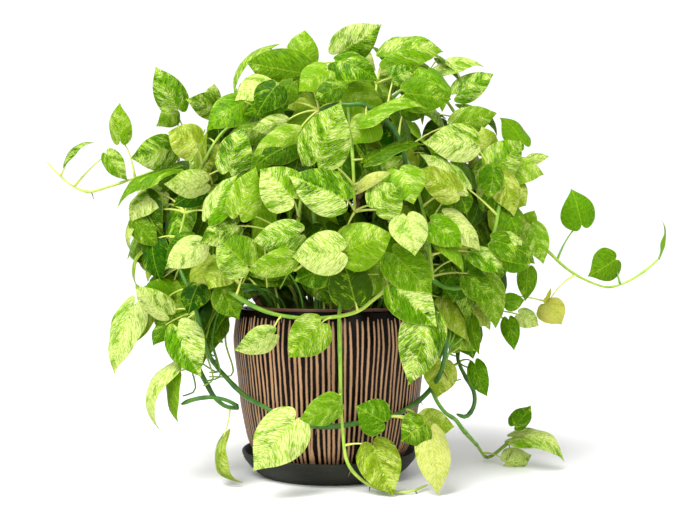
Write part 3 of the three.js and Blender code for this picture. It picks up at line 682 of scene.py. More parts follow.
# a charted leaf: its blade's base (u, w, y) and tip (u, w, y), its width, its turn about its midrib in
# degrees, how far its middle bows out, and its colouring
# leaves charted as dark sit back behind the front ones, and their dark colouring is partly painted shade
charted_leaves = [
    (-17, 402, -190, 12, 480, -196, 58, 0, 5, "marbled"),
    (17, 352, -194, -54, 385, -190, 52, -5, 5, "half"),
    (-48, 354, -184, -92, 392, -172, 54, 5, 4, "half"),
    (14, 284, -194, -50, 278, -190, 50, -15, 4, "cream"),
    (17, 284, -188, 82, 309, -184, 54, 5, 5, "lime"),
    (100, 330, -184, 110, 279, -194, 44, 0, 4, "cream"),
    (-107, 266, -168, -148, 303, -160, 52, 0, 4, "marbled"),
    (10, 541, -66, 68, 579, -72, 46, 18, 6, "half"),
    (73, 538, -76, 148, 547, -58, 48, -10, 12, "marbled"),
    (-46, 66, -158, -101, 0, -172, 60, 0, 4, "cream"),
    (10, 87, -150, -41, 64, -158, 36, -20, 8, "lime"),
    (-13, 190, -158, -55, 147, -162, 48, 0, 4, "lime"),
    (-74, 176, -158, -125, 155, -162, 34, -35, 6, "cream"),
    (128, 198, -164, 101, 111, -168, 54, 0, 5, "marbled"),
    (56, 32, -140, 83, -33, -152, 50, 0, 3, "olive"),
    (130, 50, -134, 139, -33, -148, 42, 0, 6, "yellow"),
    (70, 63, -146, 33, 83, -150, 44, 0, 3, "green"),
    (32, 220, -166, 16, 280, -160, 50, 0, 4, "dark"),
    (-198, 470, -50, -228, 525, -60, 40, 10, 4, "marbled"),
    (-273, 429, 0, -273, 478, -4, 34, 0, 3, "lime"),
    (-345, 401, 2, -307, 427, 0, 22, -30, 8, "marbled"),
    (-290, 411, -2, -264, 376, -6, 28, 0, 3, "marbled"),
    (327, 319, 20, 314, 366, 16, 46, -24, 3, "solid"),
    (371, 274, 20, 336, 253, 12, 44, 0, 3, "solid"),
    (430, 279, 20, 436, 324, 18, 14, 55, 3, "solid"),
    (252, 424, -20, 223, 461, -12, 40, 10, 3, "solid"),
    (281, 216, 0, 302, 190, -4, 38, 20, 6, "brown"),
    (-255, 214, -56, -286, 126, -58, 44, 0, 5, "cream"),
    (-205, 136, -84, -224, 50, -90, 42, 40, 22, "cream"),
    (-140, 42, -86, -118, -18, -98, 36, 45, 18, "olive"),
    (240, 44, 12, 306, 14, 0, 34, -20, 22, "cream"),
    (45, 457, -164, 128, 474, -150, 36, -45, 12, "lime"),
    (228, 10, 20, 262, 20, 18, 34, 0, 4, "cream"),
    (-158, 328, -158, -122, 384, -162, 38, -15, 4, "half"),
    (-118, 333, -172, -97, 395, -168, 40, 10, 4, "lime"),
    (-131, 390, -150, -112, 446, -148, 46, 0, 4, "marbled"),
    (-162, 373, -130, -216, 371, -134, 36, -40, 5, "cream"),
    (-200, 468, -40, -226, 448, -52, 30, -45, 8, "lime"),
    (-143, 470, -60, -187, 482, -78, 34, -20, 4, "marbled"),
    (-110, 480, -108, -162, 444, -122, 46, 0, 6, "green"),
    (-33, 516, -126, -110, 530, -106, 50, -25, 10, "green"),
    (-80, 552, -60, -128, 488, -78, 30, 50, 14, "lime"),
    (-70, 508, -120, -124, 482, -128, 46, 15, 6, "cream"),
    (-38, 528, -60, -31, 573, -42, 42, 10, 4, "lime"),
    (22, 548, -20, 60, 520, -12, 36, 0, 4, "cream"),
    (137, 520, -40, 200, 526, -40, 36, -35, 10, "cream"),
    (165, 489, -50, 213, 516, -42, 34, 0, 4, "marbled"),
    (162, 449, -60, 218, 463, -52, 36, 10, 5, "lime"),
    (128, 520, -100, 147, 467, -118, 46, -20, 8, "green"),
    (98, 490, -138, 158, 484, -138, 42, 20, 8, "green"),
    (8, 532, -116, 63, 506, -128, 44, -10, 8, "green"),
    (-4, 520, -138, -40, 492, -144, 40, 0, 4, "lime"),
    (-70, 500, -138, -95, 462, -140, 40, 0, 4, "dark"),
    (-48, 505, -128, -62, 470, -130, 30, 0, 3, "green"),
    (10, 498, -148, -20, 482, -150, 30, 0, 3, "green"),
    (-205, 392, -68, -277, 342, -78, 32, 35, 12, "green"),
    (-205, 417, -68, -259, 406, -74, 44, -30, 12, "marbled"),
    (-174, 424, -108, -212, 440, -100, 44, 0, 3, "olive"),
    (-222, 362, -60, -262, 322, -68, 42, 10, 10, "cream"),
    (-254, 325, -70, -222, 291, -78, 32, 0, 3, "green"),
    (-212, 203, -98, -255, 241, -104, 40, -25, 4, "cream"),
    (-198, 186, -100, -168, 122, -108, 50, 0, 5, "half"),
    (-238, 212, -40, -262, 160, -42, 34, 0, 3, "olive"),
    (-172, 240, -118, -184, 203, -128, 36, 0, 3, "dark"),
    (-208, 225, -80, -246, 237, -86, 40, 0, 3, "green"),
    (-168, 294, -148, -214, 262, -154, 36, -10, 4, "cream"),
    (-122, 318, -158, -170, 295, -162, 34, -10, 5, "marbled"),
    (-40, 307, -182, -101, 297, -178, 38, -20, 8, "marbled"),
    (-50, 274, -184, -109, 260, -176, 32, -30, 8, "lime"),
    (-5, 262, -150, -46, 246, -150, 38, 0, 3, "green"),
    (82, 282, -150, 133, 227, -164, 52, 0, 4, "green"),
    (85, 240, -158, 140, 188, -170, 50, 10, 4, "half"),
    (122, 60, -138, 92, 38, -142, 42, 0, 3, "green"),
    (118, 62, -108, 162, 58, -108, 38, 0, 3, "olive"),
    (146, 140, -60, 140, 95, -68, 44, 0, 3, "olive"),
    (205, 250, -60, 218, 185, -62, 42, 0, 4, "lime"),
    (225, 392, -50, 279, 385, -42, 42, -10, 8, "lime"),
    (230, 368, -60, 256, 345, -52, 48, 0, 4, "olive"),
    (212, 390, -80, 250, 428, -62, 48, 10, 4, "lime"),
    (207, 414, -70, 197, 447, -72, 36, 0, 3, "olive"),
    (262, 318, -30, 277, 268, -32, 34, 25, 6, "lime"),
    (216, 298, -110, 268, 270, -92, 38, -10, 8, "green"),
    (232, 280, -70, 258, 262, -62, 36, 0, 3, "green"),
    (226, 345, -80, 246, 300, -82, 38, 0, 4, "green"),
    (188, 426, -128, 121, 427, -138, 46, -10, 5, "cream"),
    (50, 404, -160, 122, 426, -150, 30, -40, 8, "dark"),
    (176, 368, -130, 118, 413, -138, 32, 10, 4, "cream"),
    (165, 363, -140, 110, 390, -148, 42, 0, 4, "olive"),
    (90, 390, -170, 108, 346, -178, 52, 0, 6, "lime"),
    (60, 341, -184, 92, 372, -184, 46, 0, 3, "marbled"),
    (20, 432, -120, 8, 348, -138, 56, 0, 4, "dark"),
    (-42, 438, -150, -102, 408, -150, 32, -10, 6, "lime"),
    (-45, 426, -150, -95, 400, -158, 36, 0, 4, "dark"),
    (150, 330, -140, 198, 287, -130, 38, -10, 5, "cream"),
    (132, 322, -158, 172, 290, -158, 38, 0, 4, "green"),
    (186, 284, -118, 228, 258, -110, 30, -10, 4, "marbled"),
    (180, 252, -108, 212, 215, -108, 36, 0, 4, "green"),
    (170, 246, -90, 160, 218, -90, 32, 0, 3, "green"),
    (165, 365, -128, 178, 332, -128, 32, 0, 3, "dark"),
    (212, 392, -98, 206, 352, -98, 34, 0, 3, "green"),
    (222, 385, -88, 240, 330, -88, 38, 0, 3, "olive"),
    (-135, 268, -138, -158, 236, -144, 38, 0, 3, "olive"),
    (-140, 236, -128, -120, 196, -134, 40, 0, 3, "green"),
    (-178, 300, -138, -214, 272, -138, 32, -20, 5, "green"),
    (55, 455, -140, 30, 425, -150, 40, 0, 4, "lime"),
]

# narrow, half hidden and half open leaves, which stay too fine for the frame
# a dark colouring here also sits back in the canopy, and is partly painted shade
fine_leaves = [
    (240, 58, -10, 262, 84, -10, 28, 0, 3, "green"),
    (-152, 478, 40, -150, 503, 48, 26, 55, 2, "cream"),
    (72, 534, -56, 48, 552, -56, 22, 55, 5, "lime"),
    (82, 510, -128, 110, 523, -120, 28, 0, 3, "marbled"),
    (96, 470, -120, 125, 462, -112, 26, 0, 3, "dark"),
    (-62, 478, -128, -112, 462, -124, 26, -20, 8, "green"),
    (-256, 330, -60, -257, 280, -56, 26, 45, 8, "cream"),
    (-240, 293, -50, -252, 238, -58, 26, 50, 10, "olive"),
    (-204, 128, -88, -200, 62, -92, 28, 30, 6, "lime"),
    (-213, 190, -88, -230, 162, -90, 24, 0, 2, "green"),
    (-225, 283, -60, -238, 245, -60, 24, 20, 4, "olive"),
    (188, 138, -50, 205, 96, -50, 26, 35, 10, "green"),
    (184, 196, -68, 193, 150, -74, 18, 40, 5, "green"),
    (228, 218, -40, 253, 222, -40, 24, 0, 2, "green"),
    (257, 262, -20, 253, 220, -22, 26, 25, 4, "green"),
    (246, 203, -10, 272, 188, -12, 28, 0, 3, "cream"),
    (281, 218, 0, 287, 238, 2, 16, 45, 2, "brown"),
    (232, 196, -20, 240, 156, -26, 24, 20, 4, "green"),
    (258, 404, 60, 285, 408, 60, 16, 0, 2, "cream"),
    (256, 320, -10, 266, 338, -10, 22, 0, 2, "lime"),
    (216, 304, -100, 256, 291, -100, 24, -30, 6, "cream"),
    (37, 366, -174, 82, 388, -170, 14, 0, 16, "yellow"),
    (-58, 452, -138, -102, 444, -138, 24, -20, 5, "cream"),
    (142, 298, -150, 176, 258, -148, 26, -30, 6, "lime"),
    (-165, 362, -118, -205, 345, -118, 28, 0, 3, "dark"),
]


def leaf_at(base, tip, width, face, bow, look):
    """A leaf's frame: its run from base to tip, the way its upper face looks, and across between them."""
    run = tip - base
    length = run.length
    run = run.normalized()
    up = (face - run * face.dot(run)).normalized()
    return {"base": base, "length": length, "width": width, "bow": bow, "look": look,
            "run": run, "up": up, "across": run.cross(up)}


def charted_leaf(u0, w0, y0, u1, w1, y1, width, turn, bow, look):
    base, tip = place(u0, w0, y0), place(u1, w1, y1)
    run = (tip - base).normalized()
    face = Vector((base.x / 700, -1, 0.22))
    face = (face - run * face.dot(run)).normalized()
    face = Matrix.Rotation(math.radians(turn), 3, run) @ face
    return leaf_at(base, tip, width, face, bow, look)


first_leaf, leaf_gap = 110, 56  # along an arched vine
back_looks = ["marbled", "green", "lime", "half", "marbled", "green", "cream", "lime"]


def back_leaves(line, first, draw):
    """Leaves along an arched vine, in turn on its two sides."""
    points, length = spaced(line, 200)
    leaves = []
    for k in range(int((length - first_leaf) / leaf_gap)):
        along = (first_leaf + leaf_gap * k + draw.between(0, 14)) / length
        start = points[round(min(along, 0.995) * 200)]
        out = Vector((start.x, start.y, 0)).normalized()
        side = Vector((-out.y, out.x, 0)) * (1 if k % 2 else -1)
        reach = draw.between(34, 52)
        base = start + out * reach * 0.45 + side * reach * 0.75
        base.z += reach * draw.between(0.2, 0.7)
        run = out * draw.between(0.3, 0.7) + side * draw.between(0.1, 0.6)
        run.z = -draw.between(0.35, 0.8)
        tip = base + run.normalized() * 66 * draw.between(0.85, 1.15)
        face = out + side * 0.2
        face.z = 0.8
        width, bow = draw.between(40, 52), draw.between(4, 9)
        leaves.append(leaf_at(base, tip, width, face, bow, back_looks[(first + k) % len(back_looks)]))
    return leaves


leaves = [charted_leaf(*row) for row in charted_leaves]
first_back_vine, back_draw = 16, Draw(7)
for k in range(first_back_vine, len(vine_lines)):
    leaves += back_leaves(vine_lines[k], k, back_draw)
leaves += [charted_leaf(*row) for row in fine_leaves]

# dark comes up twice, as these leaves sit inside the canopy, and there it is partly painted shade
inner_looks = ["dark", "green", "marbled", "green", "lime", "marbled", "dark", "olive"]


def inner_leaves(count, middle, reach, lowest, front, draw):
    """Leaves inside the canopy, behind the ones that show, which look outwards and partly to the front."""
    inside = []
    while len(inside) < count:
        way = Vector([draw.between(-1, 1) for _ in range(3)])
        if not 0.25 < way.length < 0.92 or middle.z + way.z * reach.z < lowest:
            continue
        spot = middle + Vector([w * r for w, r in zip(way, reach)])
        face = Vector((spot.x / 190, spot.y / 140, 0)) + Vector((0, -front, 0.35))
        face += Vector([draw.between(-0.45, 0.45) for _ in range(3)])
        run = Vector((draw.between(-0.7, 0.7), draw.between(-0.4, 0.4), -draw.between(0.2, 1.0)))
        run = (run - face * run.dot(face) / face.length_squared).normalized()
        length, width = draw.between(50, 76), draw.between(38, 54)
        look = inner_looks[int(draw.between(0, len(inner_looks)))]
        inside.append(leaf_at(spot - run * length / 2, spot + run * length / 2, width, face,
                              draw.between(4, 9), look))
    return inside


# in the middle, low over the rim, and on the left and the right flank, high up and then low down
leaves += inner_leaves(170, Vector((4, 8, 378)), Vector((206, 150, 150)), 280, 0.15, Draw(31))
leaves += inner_leaves(110, Vector((-6, 4, 262)), Vector((150, 112, 62)), 226, 0.4, Draw(57))
leaves += inner_leaves(60, Vector((-172, -34, 285)), Vector((76, 62, 110)), 180, 1.3, Draw(61))
leaves += inner_leaves(56, Vector((172, 0, 285)), Vector((80, 62, 110)), 185, 1.3, Draw(67))
leaves += inner_leaves(26, Vector((-172, -44, 222)), Vector((52, 40, 66)), 160, 1.3, Draw(71))
leaves += inner_leaves(26, Vector((166, -24, 222)), Vector((46, 40, 62)), 160, 1.3, Draw(73))

node_spacing, vine_nodes = 32, []
for line in vine_lines:
    length = spaced(line, 2)[1]
    vine_nodes.append(spaced(line, math.ceil(length / node_spacing))[0][1:])


def attach(leaf):
    """The leaf grows from the nearest node, rather from one behind it than from one in front of it."""
    best = math.inf
    for vine, nodes in enumerate(vine_nodes):
        for node in nodes:
            away = node - leaf["base"]
            cost = away.length + 1.5 * max(0, away.dot(leaf["up"]))
            cost += max(0, away.dot(leaf["run"])) + 0.3 * max(0, away.z)
            if cost < best:
                best, leaf["vine"], leaf["node"] = cost, vine, node


for leaf in leaves:
    attach(leaf)

# ---------------------------------------------------------------- stems and leaf stalks
# An old stem is 6 mm thick and a growing tip 3 mm, with swollen joints along it and here and there a short
# brown aerial root. A leaf stalk is about 2 mm thick, clasps the stem at its foot, and arches up behind
# the blade.

swelling_spacing = 48
young_shoots, hanging_pairs = 66, 10
stem_draw = Draw(5150)


def stem_run(line, root_age, tip_age):
    length = spaced(line, 2)[1]
    points = spaced(line, max(12, round(length / 6)))[0]
    phase = stem_draw.between(0, 30)
    run, along = [], 0.0
    for k, point in enumerate(points):
        along += (point - points[max(k - 1, 0)]).length
        share = along / length
        to_node = abs((along + phase) % swelling_spacing - swelling_spacing / 2)
        swell = 0.45 * math.exp(-((to_node / 3.2) ** 2))
        taper = (1.25 - 0.75 * tip_age) * share**1.5
        radius = (1.6 + 1.6 * root_age - taper) * (1 + 0.12 * math.sin(along / 23 + phase)) + swell
        age = root_age + (tip_age - root_age) * share + (0.5 * swell if root_age > 0.3 else 0)
        run.append((point, radius if k < len(points) - 1 else 0.5 * radius, age))
    return run


def root_stub(point, along):
    """A short aerial root that leaves the stem to one side and curls down."""
    side = Vector((stem_draw.between(-1, 1), stem_draw.between(-1, 0.2), stem_draw.between(-0.6, 0.3)))
    side = (side - along * side.dot(along)).normalized()
    reach = stem_draw.between(5, 13)
    way = [point, point + side * reach * 0.6, point + side * reach + Vector((0, 0, -0.35 * reach))]
    return [(p, r, 1.6) for p, r in zip(way, (0.9, 0.65, 0.25))]


def stalk_run(leaf, draw):
    """A leaf stalk: from its node on the stem, up behind the blade, to the blade's base."""
    start, end = leaf["node"], leaf["base"] + leaf["run"] * 1.5
    end = end - leaf["up"] * 0.5
    reach = (end - start).length
    bend = start.lerp(end, 0.55) - leaf["up"] * 0.18 * reach
    bend.z += 0.2 * reach
    tone = 0.55 if leaf["look"] == "solid" else draw.between(0.02, 0.68)
    run = []
    for k in range(9):
        t = k / 8
        point = start * (1 - t) ** 2 + bend * 2 * t * (1 - t) + end * t**2
        radius = 0.9 + 1.0 * (1 - t) ** 4 + 0.25 * t**6
        run.append((point, radius, tone))
    return run


# Living stem: a smooth waxy skin over green flesh. Young growth is pale yellow-green, old stems are dark
# and dull, and aerial roots, whose age is past that of any stem, are brown.
green_skin, tree = new_material("living_stem_skin")
where = add(tree, "ShaderNodeTexCoord").outputs["Object"]
age = add(tree, "ShaderNodeAttribute", {"attribute_name": "age"}).outputs["Fac"]
blotch = add(tree, "ShaderNodeTexNoise", {"Scale": 1 / (11.1 * mm), "Detail": 4.0}, {"Vector": where})
shift = add(tree, "ShaderNodeMath", {"operation": "MULTIPLY_ADD", 1: 0.5, 2: -0.25}, {0: blotch})
toned = add(tree, "ShaderNodeMath", {"operation": "ADD"}, {0: age, 1: shift})
span = add(tree, "ShaderNodeMapRange", {"From Min": -0.4, "From Max": 1.6}, {"Value": toned})
tones = add(tree, "ShaderNodeValToRGB", {}, {"Fac": span})
bands = [(0.0, "#e9e6a8"), (0.2, "#c6cf62"), (0.34, "#98b838"), (0.5, "#5c8f22"), (0.68, "#2f6116"),
         (0.8, "#2b4a18"), (1.0, "#5b4026")]
for k, (share, tone) in enumerate(bands):
    stop = tones.color_ramp.elements[k] if k < 2 else tones.color_ramp.elements.new(share)
    stop.position, stop.color = share, paint(tone)
speck = add(tree, "ShaderNodeTexNoise", {"Scale": 1 / (1.43 * mm), "Detail": 2.0}, {"Vector": where})
rough = add(tree, "ShaderNodeMapRange", {"To Min": 0.3, "To Max": 0.55}, {"Value": speck})
relief = add(tree, "ShaderNodeBump", {"Strength": 0.25, "Distance": 0.2 * mm}, {"Height": speck})
body = add(tree, "ShaderNodeBsdfPrincipled", {"IOR": 1.42},
           {"Base Color": tones, "Roughness": rough, "Normal": relief})
show(tree, body)

vine_runs = []
for vine, line in enumerate(vine_lines):
    runs = [stem_run(line, *vine_ages[vine])]
    nodes = vine_nodes[vine]
    for k in range(1, len(nodes) - 1):
        if stem_draw.between(0, 1) < 0.3 and vine_ages[vine][0] > 0.3:
            runs.append(root_stub(nodes[k], (nodes[k + 1] - nodes[k]).normalized()))
    vine_runs.append(runs)


def young_shoot(draw):
    """A thin young stem that leaves the soil, bends over just above the rim and ends in the tangle."""
    angle, root = draw.between(0, 2 * math.pi), draw.between(20, 85)
    at_front = math.sin(angle) < -0.55
    reach = draw.between(98, 114) if at_front else draw.between(104, 150)
    top, end = draw.between(232, 330), draw.between(224, 290)
    swing = draw.between(-0.6, 0.6)
    way = []
    for share, z in ((0, stem_foot), (0.2, 0.4 * soil_top + 0.6 * top), (0.6, top), (1, end)):
        r, a = root + (reach - root) * share, angle + swing * share
        way.append(Vector((r * math.cos(a), r * math.sin(a), z)))
    age = draw.between(0.1, 0.9)
    points = spaced(through(way), 24)[0]
    return [(point, 1.7 - 0.8 * k / 24, age - 0.3 * k / 24) for k, point in enumerate(points)]


def hanging_shoot(side, draw):
    """A thin stem that falls over the rim at the left (side -1) or the right (side 1) and hangs there."""
    y, out, low = draw.between(-78, 16), draw.between(134, 168), draw.between(112, 186)
    way = [Vector((side * draw.between(20, 66), 0.5 * y, stem_foot)),
           Vector((side * 78, 0.8 * y, 236)),
           Vector((side * (out - 14), 0.9 * y, 230 - draw.between(0, 14))),
           Vector((side * (out + draw.between(-4, 10)), y, 0.45 * 226 + 0.55 * low)),
           Vector((side * (out + draw.between(-18, 6)), y - 6, low)),
           Vector((side * (out + draw.between(4, 26)), y - 12, low + draw.between(-10, 18)))]
    age = draw.between(0.45, 1.0)
    points = spaced(through(way), 40)[0]
    return [(point, 1.9 - 0.9 * k / 40, age - 0.25 * k / 40) for k, point in enumerate(points)]


shoot_draw = Draw(88)
for k in range(young_shoots):
    vine_runs[k % len(vine_runs)].append(young_shoot(shoot_draw))
hanging_draw = Draw(93)
for k in range(hanging_pairs):
    vine_runs[k].append(hanging_shoot(-1, hanging_draw))
    vine_runs[k].append(hanging_shoot(1, hanging_draw))
for number, leaf in enumerate(leaves):
    vine_runs[leaf["vine"]].append(stalk_run(leaf, Draw(900 + 31 * number)))

for vine, runs in enumerate(vine_runs):
    stem = tubes(f"stem_{vine + 1:02d}", runs, 8)
    stem.data.materials.append(green_skin)
    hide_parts(f"vine_{vine + 1:02d}")
    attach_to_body(stem, "root")

# ---------------------------------------------------------------- leaf blades
# A heart-shaped blade about half a millimetre thick, 20 to 90 mm long: lobed at its base, widest a third of
# the way along, and drawn out to a drip tip. It is modelled flat, and every leaf is a copy that is sized,
# folded, bent and coloured for its place.

blade_thickness = 0.45
own_blades = 32                 # leaves that are pieces of their own
half_widths = through([Vector(p) for p in (
    (0, 0.35), (0.1, 0.46), (0.27, 0.51), (0.5, 0.46), (0.7, 0.32), (0.85, 0.15), (0.94, 0.05), (1, 0.004),
)])


def half_width(share):
    """The blade's half width at a share of its length, for a blade 1 wide."""
    low, high = 0.0, 1.0
    for _ in range(24):
        middle = (low + high) / 2
        low, high = (middle, high) if half_widths(middle).x < share else (low, middle)
    return half_widths(low).y


def flat_blade(name, across, along):
    """The blade laid out flat, 1 wide and 1 long, with its plan as its UV map and its margin marked."""
    bpy.ops.object.select_all(action="DESELECT")
    bpy.ops.mesh.primitive_grid_add(x_subdivisions=across, y_subdivisions=along, size=1)
    plan = bpy.context.object
    plan.name = name
    margin = plan.data.attributes.new("margin", "FLOAT", "POINT")
    for spot in plan.data.vertices:
        q, share = spot.co.x * 2, (spot.co.y + 0.5) ** 1.08
        margin.data[spot.index].value = 1.0 if abs(q) > 0.99 or share in (0, 1) else 0.0
        lobe = 0.13 * math.sin(0.9 * math.pi * abs(q) ** 0.75) * (1 - share) ** 3
        spot.co = (q * half_width(share), share - lobe, 0)
    plan.data.uv_layers[0].name = "plan"
    for corner in plan.data.loops:
        at = plan.data.vertices[corner.vertex_index].co
        plan.data.uv_layers[0].data[corner.index].uv = (at.x + 0.5, at.y)
    plan.hide_render = True
    return plan


fine_plan = flat_blade("fine_blade_plan", 16, 20)
plain_plan = flat_blade("plain_blade_plan", 8, 9)

# each colouring: how pale its left and right halves are, how deep its green, and how warm or faded it is
# the dark colouring is partly a deep green of its own and partly painted shade, on leaves set back
colourings = {
    "marbled": (0.44, 0.44, 0.5, 0.0), "half": (0.6, 0.32, 0.5, 0.0), "cream": (0.7, 0.66, 0.3, 0.08),
    "lime": (0.36, 0.4, 0.15, 0.1), "green": (0.22, 0.25, 0.5, 0.0), "dark": (0.12, 0.15, 0.9, 0.0),
    "solid": (-0.3, -0.3, 0.3, 0.0), "olive": (0.45, 0.4, 0.3, 0.4), "yellow": (0.85, 0.8, 0.1, 0.55),
    "brown": (0.7, 0.7, 0.2, 1.0),
}


def bent_blade(leaf, plan, draw):
    """A copy of the flat blade in its place, as a mesh. It folds along its midrib, its tip curls over, its
    margin waves, and it leans and swings a little to one side, each by its own amount."""
    mesh = plan.data.copy()
    left, right, deep, warm = colourings[leaf["look"]]
    fold, curl = draw.between(0.12, 0.32), draw.between(0.04, 0.2)
    wave, beats, phase = draw.between(0.015, 0.055), draw.between(7, 11), draw.between(0, 6.28)
    lean, swing = draw.between(-0.06, 0.06), draw.between(-0.12, 0.12)
    seed = draw.between(0, 1)
    left, right = left + draw.between(-0.1, 0.1), right + draw.between(-0.1, 0.1)
    deep, warm = deep + draw.between(-0.2, 0.25), warm + draw.between(0, 0.12)
    tone = mesh.attributes.new("leaf_tone", "FLOAT_COLOR", "POINT")
    for spot in mesh.vertices:
        s, t, _ = spot.co
        x, y = s * leaf["width"], t * leaf["length"]
        to_margin = (2 * abs(s)) ** 2
        lift = leaf["bow"] * (1 - (2 * t - 1) ** 2) + fold * abs(x)
        lift -= leaf["width"] * (0.42 * fold + 0.15) * to_margin
        lift -= curl * leaf["length"] * max(0.0, t - 0.55) ** 2 * 2.2
        lift += wave * leaf["length"] * math.sin(beats * t + phase + (2 if s > 0 else 0)) * to_margin
        lift += lean * x
        x += swing * leaf["length"] * t * t * (1 - 0.5 * t) * 0.5
        tone.data[spot.index].color = (right if s > 0.002 else left, deep, warm, seed)
        at = leaf["base"] + leaf["across"] * x + leaf["run"] * y + leaf["up"] * lift
        at.z = max(at.z, 1.2 + 0.4 * (2 * abs(s) + t))
        spot.co = at * mm
    return mesh


# Living leaf: a thin waxy skin over spongy green flesh that lets light through. Where the flesh has no
# green in it the leaf is cream, in flecks that follow the side veins, which are denser in some fields
# than in others. The upper side is satin, the lower side paler and dull. Sizes are those on a leaf of
# the usual size. Real flecks are down to 0.3 mm wide, and these are as coarse as they need to be to show.
usual_width, usual_length = 50, 66
fleck_size, field_size, shade_size = (3.57, 1.27), (19.2, 13.2), (4.17, 1.65)
vein_spacing = 7.33


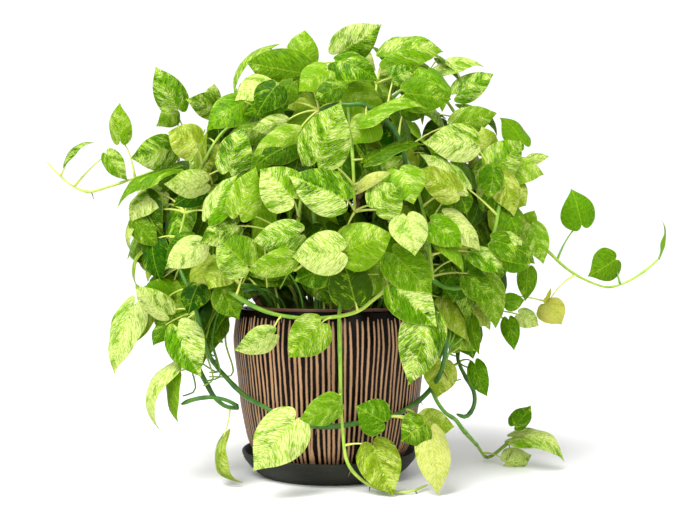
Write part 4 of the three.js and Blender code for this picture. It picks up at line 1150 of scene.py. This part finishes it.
def leaf_skin(name, under):
    material, tree = new_material(name)
    plan = add(tree, "ShaderNodeUVMap", {"uv_map": "plan"})
    tone = add(tree, "ShaderNodeAttribute", {"attribute_name": "leaf_tone"})
    parts = add(tree, "ShaderNodeSeparateColor", {}, {"Color": tone.outputs["Color"]})
    pale, deep, warm = (parts.outputs[k] for k in range(3))
    edge = add(tree, "ShaderNodeAttribute", {"attribute_name": "margin"})
    split = add(tree, "ShaderNodeSeparateXYZ", {}, {"Vector": plan})
    side = add(tree, "ShaderNodeMath", {"operation": "SUBTRACT", 1: 0.5}, {0: split.outputs["X"]})
    out = add(tree, "ShaderNodeMath", {"operation": "ABSOLUTE"}, {0: side})
    bowed = add(tree, "ShaderNodeMath", {"operation": "POWER", 1: 1.25}, {0: out})
    vein = add(tree, "ShaderNodeMath", {"operation": "MULTIPLY_ADD", 1: -0.95},
               {0: bowed, 2: split.outputs["Y"]})

    def vein_space(long, wide, shift):
        """Coordinates for marks long along the side veins and wide across them, different on each leaf."""
        out_along = add(tree, "ShaderNodeMath", {"operation": "MULTIPLY", 1: usual_width / long}, {0: side})
        up_along = add(tree, "ShaderNodeMath", {"operation": "MULTIPLY", 1: usual_length / wide}, {0: vein})
        by_leaf = add(tree, "ShaderNodeMath", {"operation": "MULTIPLY_ADD", 1: 90.0, 2: shift},
                      {0: tone.outputs["Alpha"]})
        return add(tree, "ShaderNodeCombineXYZ", {}, {0: out_along, 1: up_along, 2: by_leaf})

    flecks = add(tree, "ShaderNodeTexNoise", {"Scale": 1.0, "Detail": 4.0, "Roughness": 0.72},
                 {"Vector": vein_space(*fleck_size, 0.0)})
    fields = add(tree, "ShaderNodeTexNoise", {"Scale": 1.0, "Detail": 2.0, "Roughness": 0.5},
                 {"Vector": vein_space(*field_size, 7.0)})
    shades = add(tree, "ShaderNodeTexNoise", {"Scale": 1.0, "Detail": 4.0, "Roughness": 0.7},
                 {"Vector": vein_space(*shade_size, 19.0)})
    fine = add(tree, "ShaderNodeMath", {"operation": "MULTIPLY", 1: 1.3}, {0: flecks})
    broad = add(tree, "ShaderNodeMath", {"operation": "MULTIPLY_ADD", 1: 1.0}, {0: fields, 2: fine})
    paleness = add(tree, "ShaderNodeMath", {"operation": "MULTIPLY_ADD", 1: 0.6}, {0: pale, 2: broad})
    mask = add(tree, "ShaderNodeMapRange", {"From Min": 1.4, "From Max": 1.52}, {"Value": paleness})
    centred = add(tree, "ShaderNodeMath", {"operation": "SUBTRACT", 1: 0.5}, {0: shades})
    contrast = add(tree, "ShaderNodeMath", {"operation": "MULTIPLY_ADD", 1: 4.0, 2: 2.4}, {0: pale})
    depth = add(tree, "ShaderNodeMath", {"operation": "MULTIPLY"}, {0: centred, 1: contrast})
    darkness = add(tree, "ShaderNodeMath", {"operation": "ADD", "use_clamp": True}, {0: depth, 1: deep})
    # deep darkens the green: the leaf's own deep green, and for the dark colouring partly painted shade
    green = add(tree, "ShaderNodeMix", {"data_type": "RGBA", 6: paint("#6ca80a"), 7: paint("#124400")},
                {0: darkness})
    paler = add(tree, "ShaderNodeMath", {"operation": "ADD"}, {0: pale, 1: depth})
    whiteness = add(tree, "ShaderNodeMapRange", {"From Min": 0.28, "From Max": 0.85}, {"Value": paler})
    cream = add(tree, "ShaderNodeMix", {"data_type": "RGBA", 6: paint("#8cb910"), 7: paint("#dbe394")},
                {0: whiteness})
    marbled = add(tree, "ShaderNodeMix", {"data_type": "RGBA"}, {0: mask, 6: green, 7: cream})
    fading = add(tree, "ShaderNodeMath", {"operation": "MULTIPLY", 1: 0.6, "use_clamp": True}, {0: warm})
    faded = add(tree, "ShaderNodeMix", {"data_type": "RGBA", 7: paint("#b9ae34")}, {0: fading, 6: marbled})
    rib = add(tree, "ShaderNodeMapRange", {
        "From Min": 0.008, "From Max": 0.022, "To Min": 0.45, "To Max": 0.0,
    }, {"Value": out})
    ribbed = add(tree, "ShaderNodeMix", {"data_type": "RGBA", 7: paint("#9cbc2a")}, {0: rib, 6: faded})
    rim = add(tree, "ShaderNodeMapRange", {"From Min": 0.8, "From Max": 1.0, "To Max": 0.5},
              {"Value": edge.outputs["Fac"]})
    colour = add(tree, "ShaderNodeMix", {"data_type": "RGBA", 7: paint("#abc532")}, {0: rim, 6: ribbed})
    if under:
        colour = add(tree, "ShaderNodeMix", {"data_type": "RGBA", 0: 0.4, 7: paint("#8aab45")}, {6: colour})
    vein_waves = 2 * math.pi * usual_length / vein_spacing
    wave = add(tree, "ShaderNodeMath", {"operation": "MULTIPLY", 1: vein_waves}, {0: vein})
    veins = add(tree, "ShaderNodeMath", {"operation": "SINE"}, {0: wave})
    surface = add(tree, "ShaderNodeMath", {"operation": "MULTIPLY_ADD", 1: 0.35}, {0: veins, 2: flecks})
    relief = add(tree, "ShaderNodeBump", {"Strength": 0.35, "Distance": 0.5 * mm}, {"Height": surface})
    smoothest, roughest = (0.5, 0.7) if under else (0.26, 0.42)
    satin = add(tree, "ShaderNodeMapRange", {"To Min": smoothest, "To Max": roughest}, {"Value": fields})
    skin = add(tree, "ShaderNodeBsdfPrincipled", {"IOR": 1.42, "Specular IOR Level": 0.06},
               {"Base Color": colour, "Roughness": satin, "Normal": relief})
    lit = add(tree, "ShaderNodeMix", {"data_type": "RGBA", 0: 0.35, 7: paint("#a2cc0c")}, {6: colour})
    through_light = add(tree, "ShaderNodeBsdfTranslucent", {}, {"Color": lit, "Normal": relief})
    both = add(tree, "ShaderNodeMixShader", {0: 0.3}, {1: skin, 2: through_light})
    show(tree, both)
    return material


upper_skin = leaf_skin("leaf_upper_skin", under=False)
lower_skin = leaf_skin("leaf_lower_skin", under=True)


def finished_blades(name, meshes):
    """The blades joined in one piece, with their thickness and their paler underside."""
    parts = []
    for mesh in meshes:
        part = bpy.data.objects.new(name, mesh)
        bpy.context.scene.collection.objects.link(part)
        parts.append(part)
    bpy.ops.object.select_all(action="DESELECT")
    for part in parts:
        part.select_set(True)
    piece = parts[0]
    bpy.context.view_layer.objects.active = piece
    if len(parts) > 1:
        bpy.ops.object.join()
    piece.name = name
    piece.data.name = name
    piece.data.materials.append(upper_skin)
    piece.data.materials.append(lower_skin)
    wall = piece.modifiers.new("thickness", "SOLIDIFY")
    wall.thickness, wall.offset, wall.material_offset = blade_thickness * mm, -1, 1
    bpy.ops.object.modifier_apply(modifier=wall.name)
    bpy.ops.object.shade_smooth_by_angle(angle=math.radians(60))
    return piece


vine_blades = {vine: [] for vine in range(len(vine_lines))}
for number, leaf in enumerate(leaves):
    draw = Draw(400 + 53 * number)
    if number < own_blades:
        blade = finished_blades(f"blade_{number + 1:02d}", [bent_blade(leaf, fine_plan, draw)])
        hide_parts(f"leaf_{number + 1:02d}")
        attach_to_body(blade, "root")
    else:
        vine_blades[leaf["vine"]].append(bent_blade(leaf, plain_plan, draw))

for vine, meshes in vine_blades.items():
    if meshes:
        blades = finished_blades(f"leaves_of_vine_{vine + 1:02d}", meshes)
        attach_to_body(blades, "root")

bpy.data.objects.remove(fine_plan)
bpy.data.objects.remove(plain_plan)
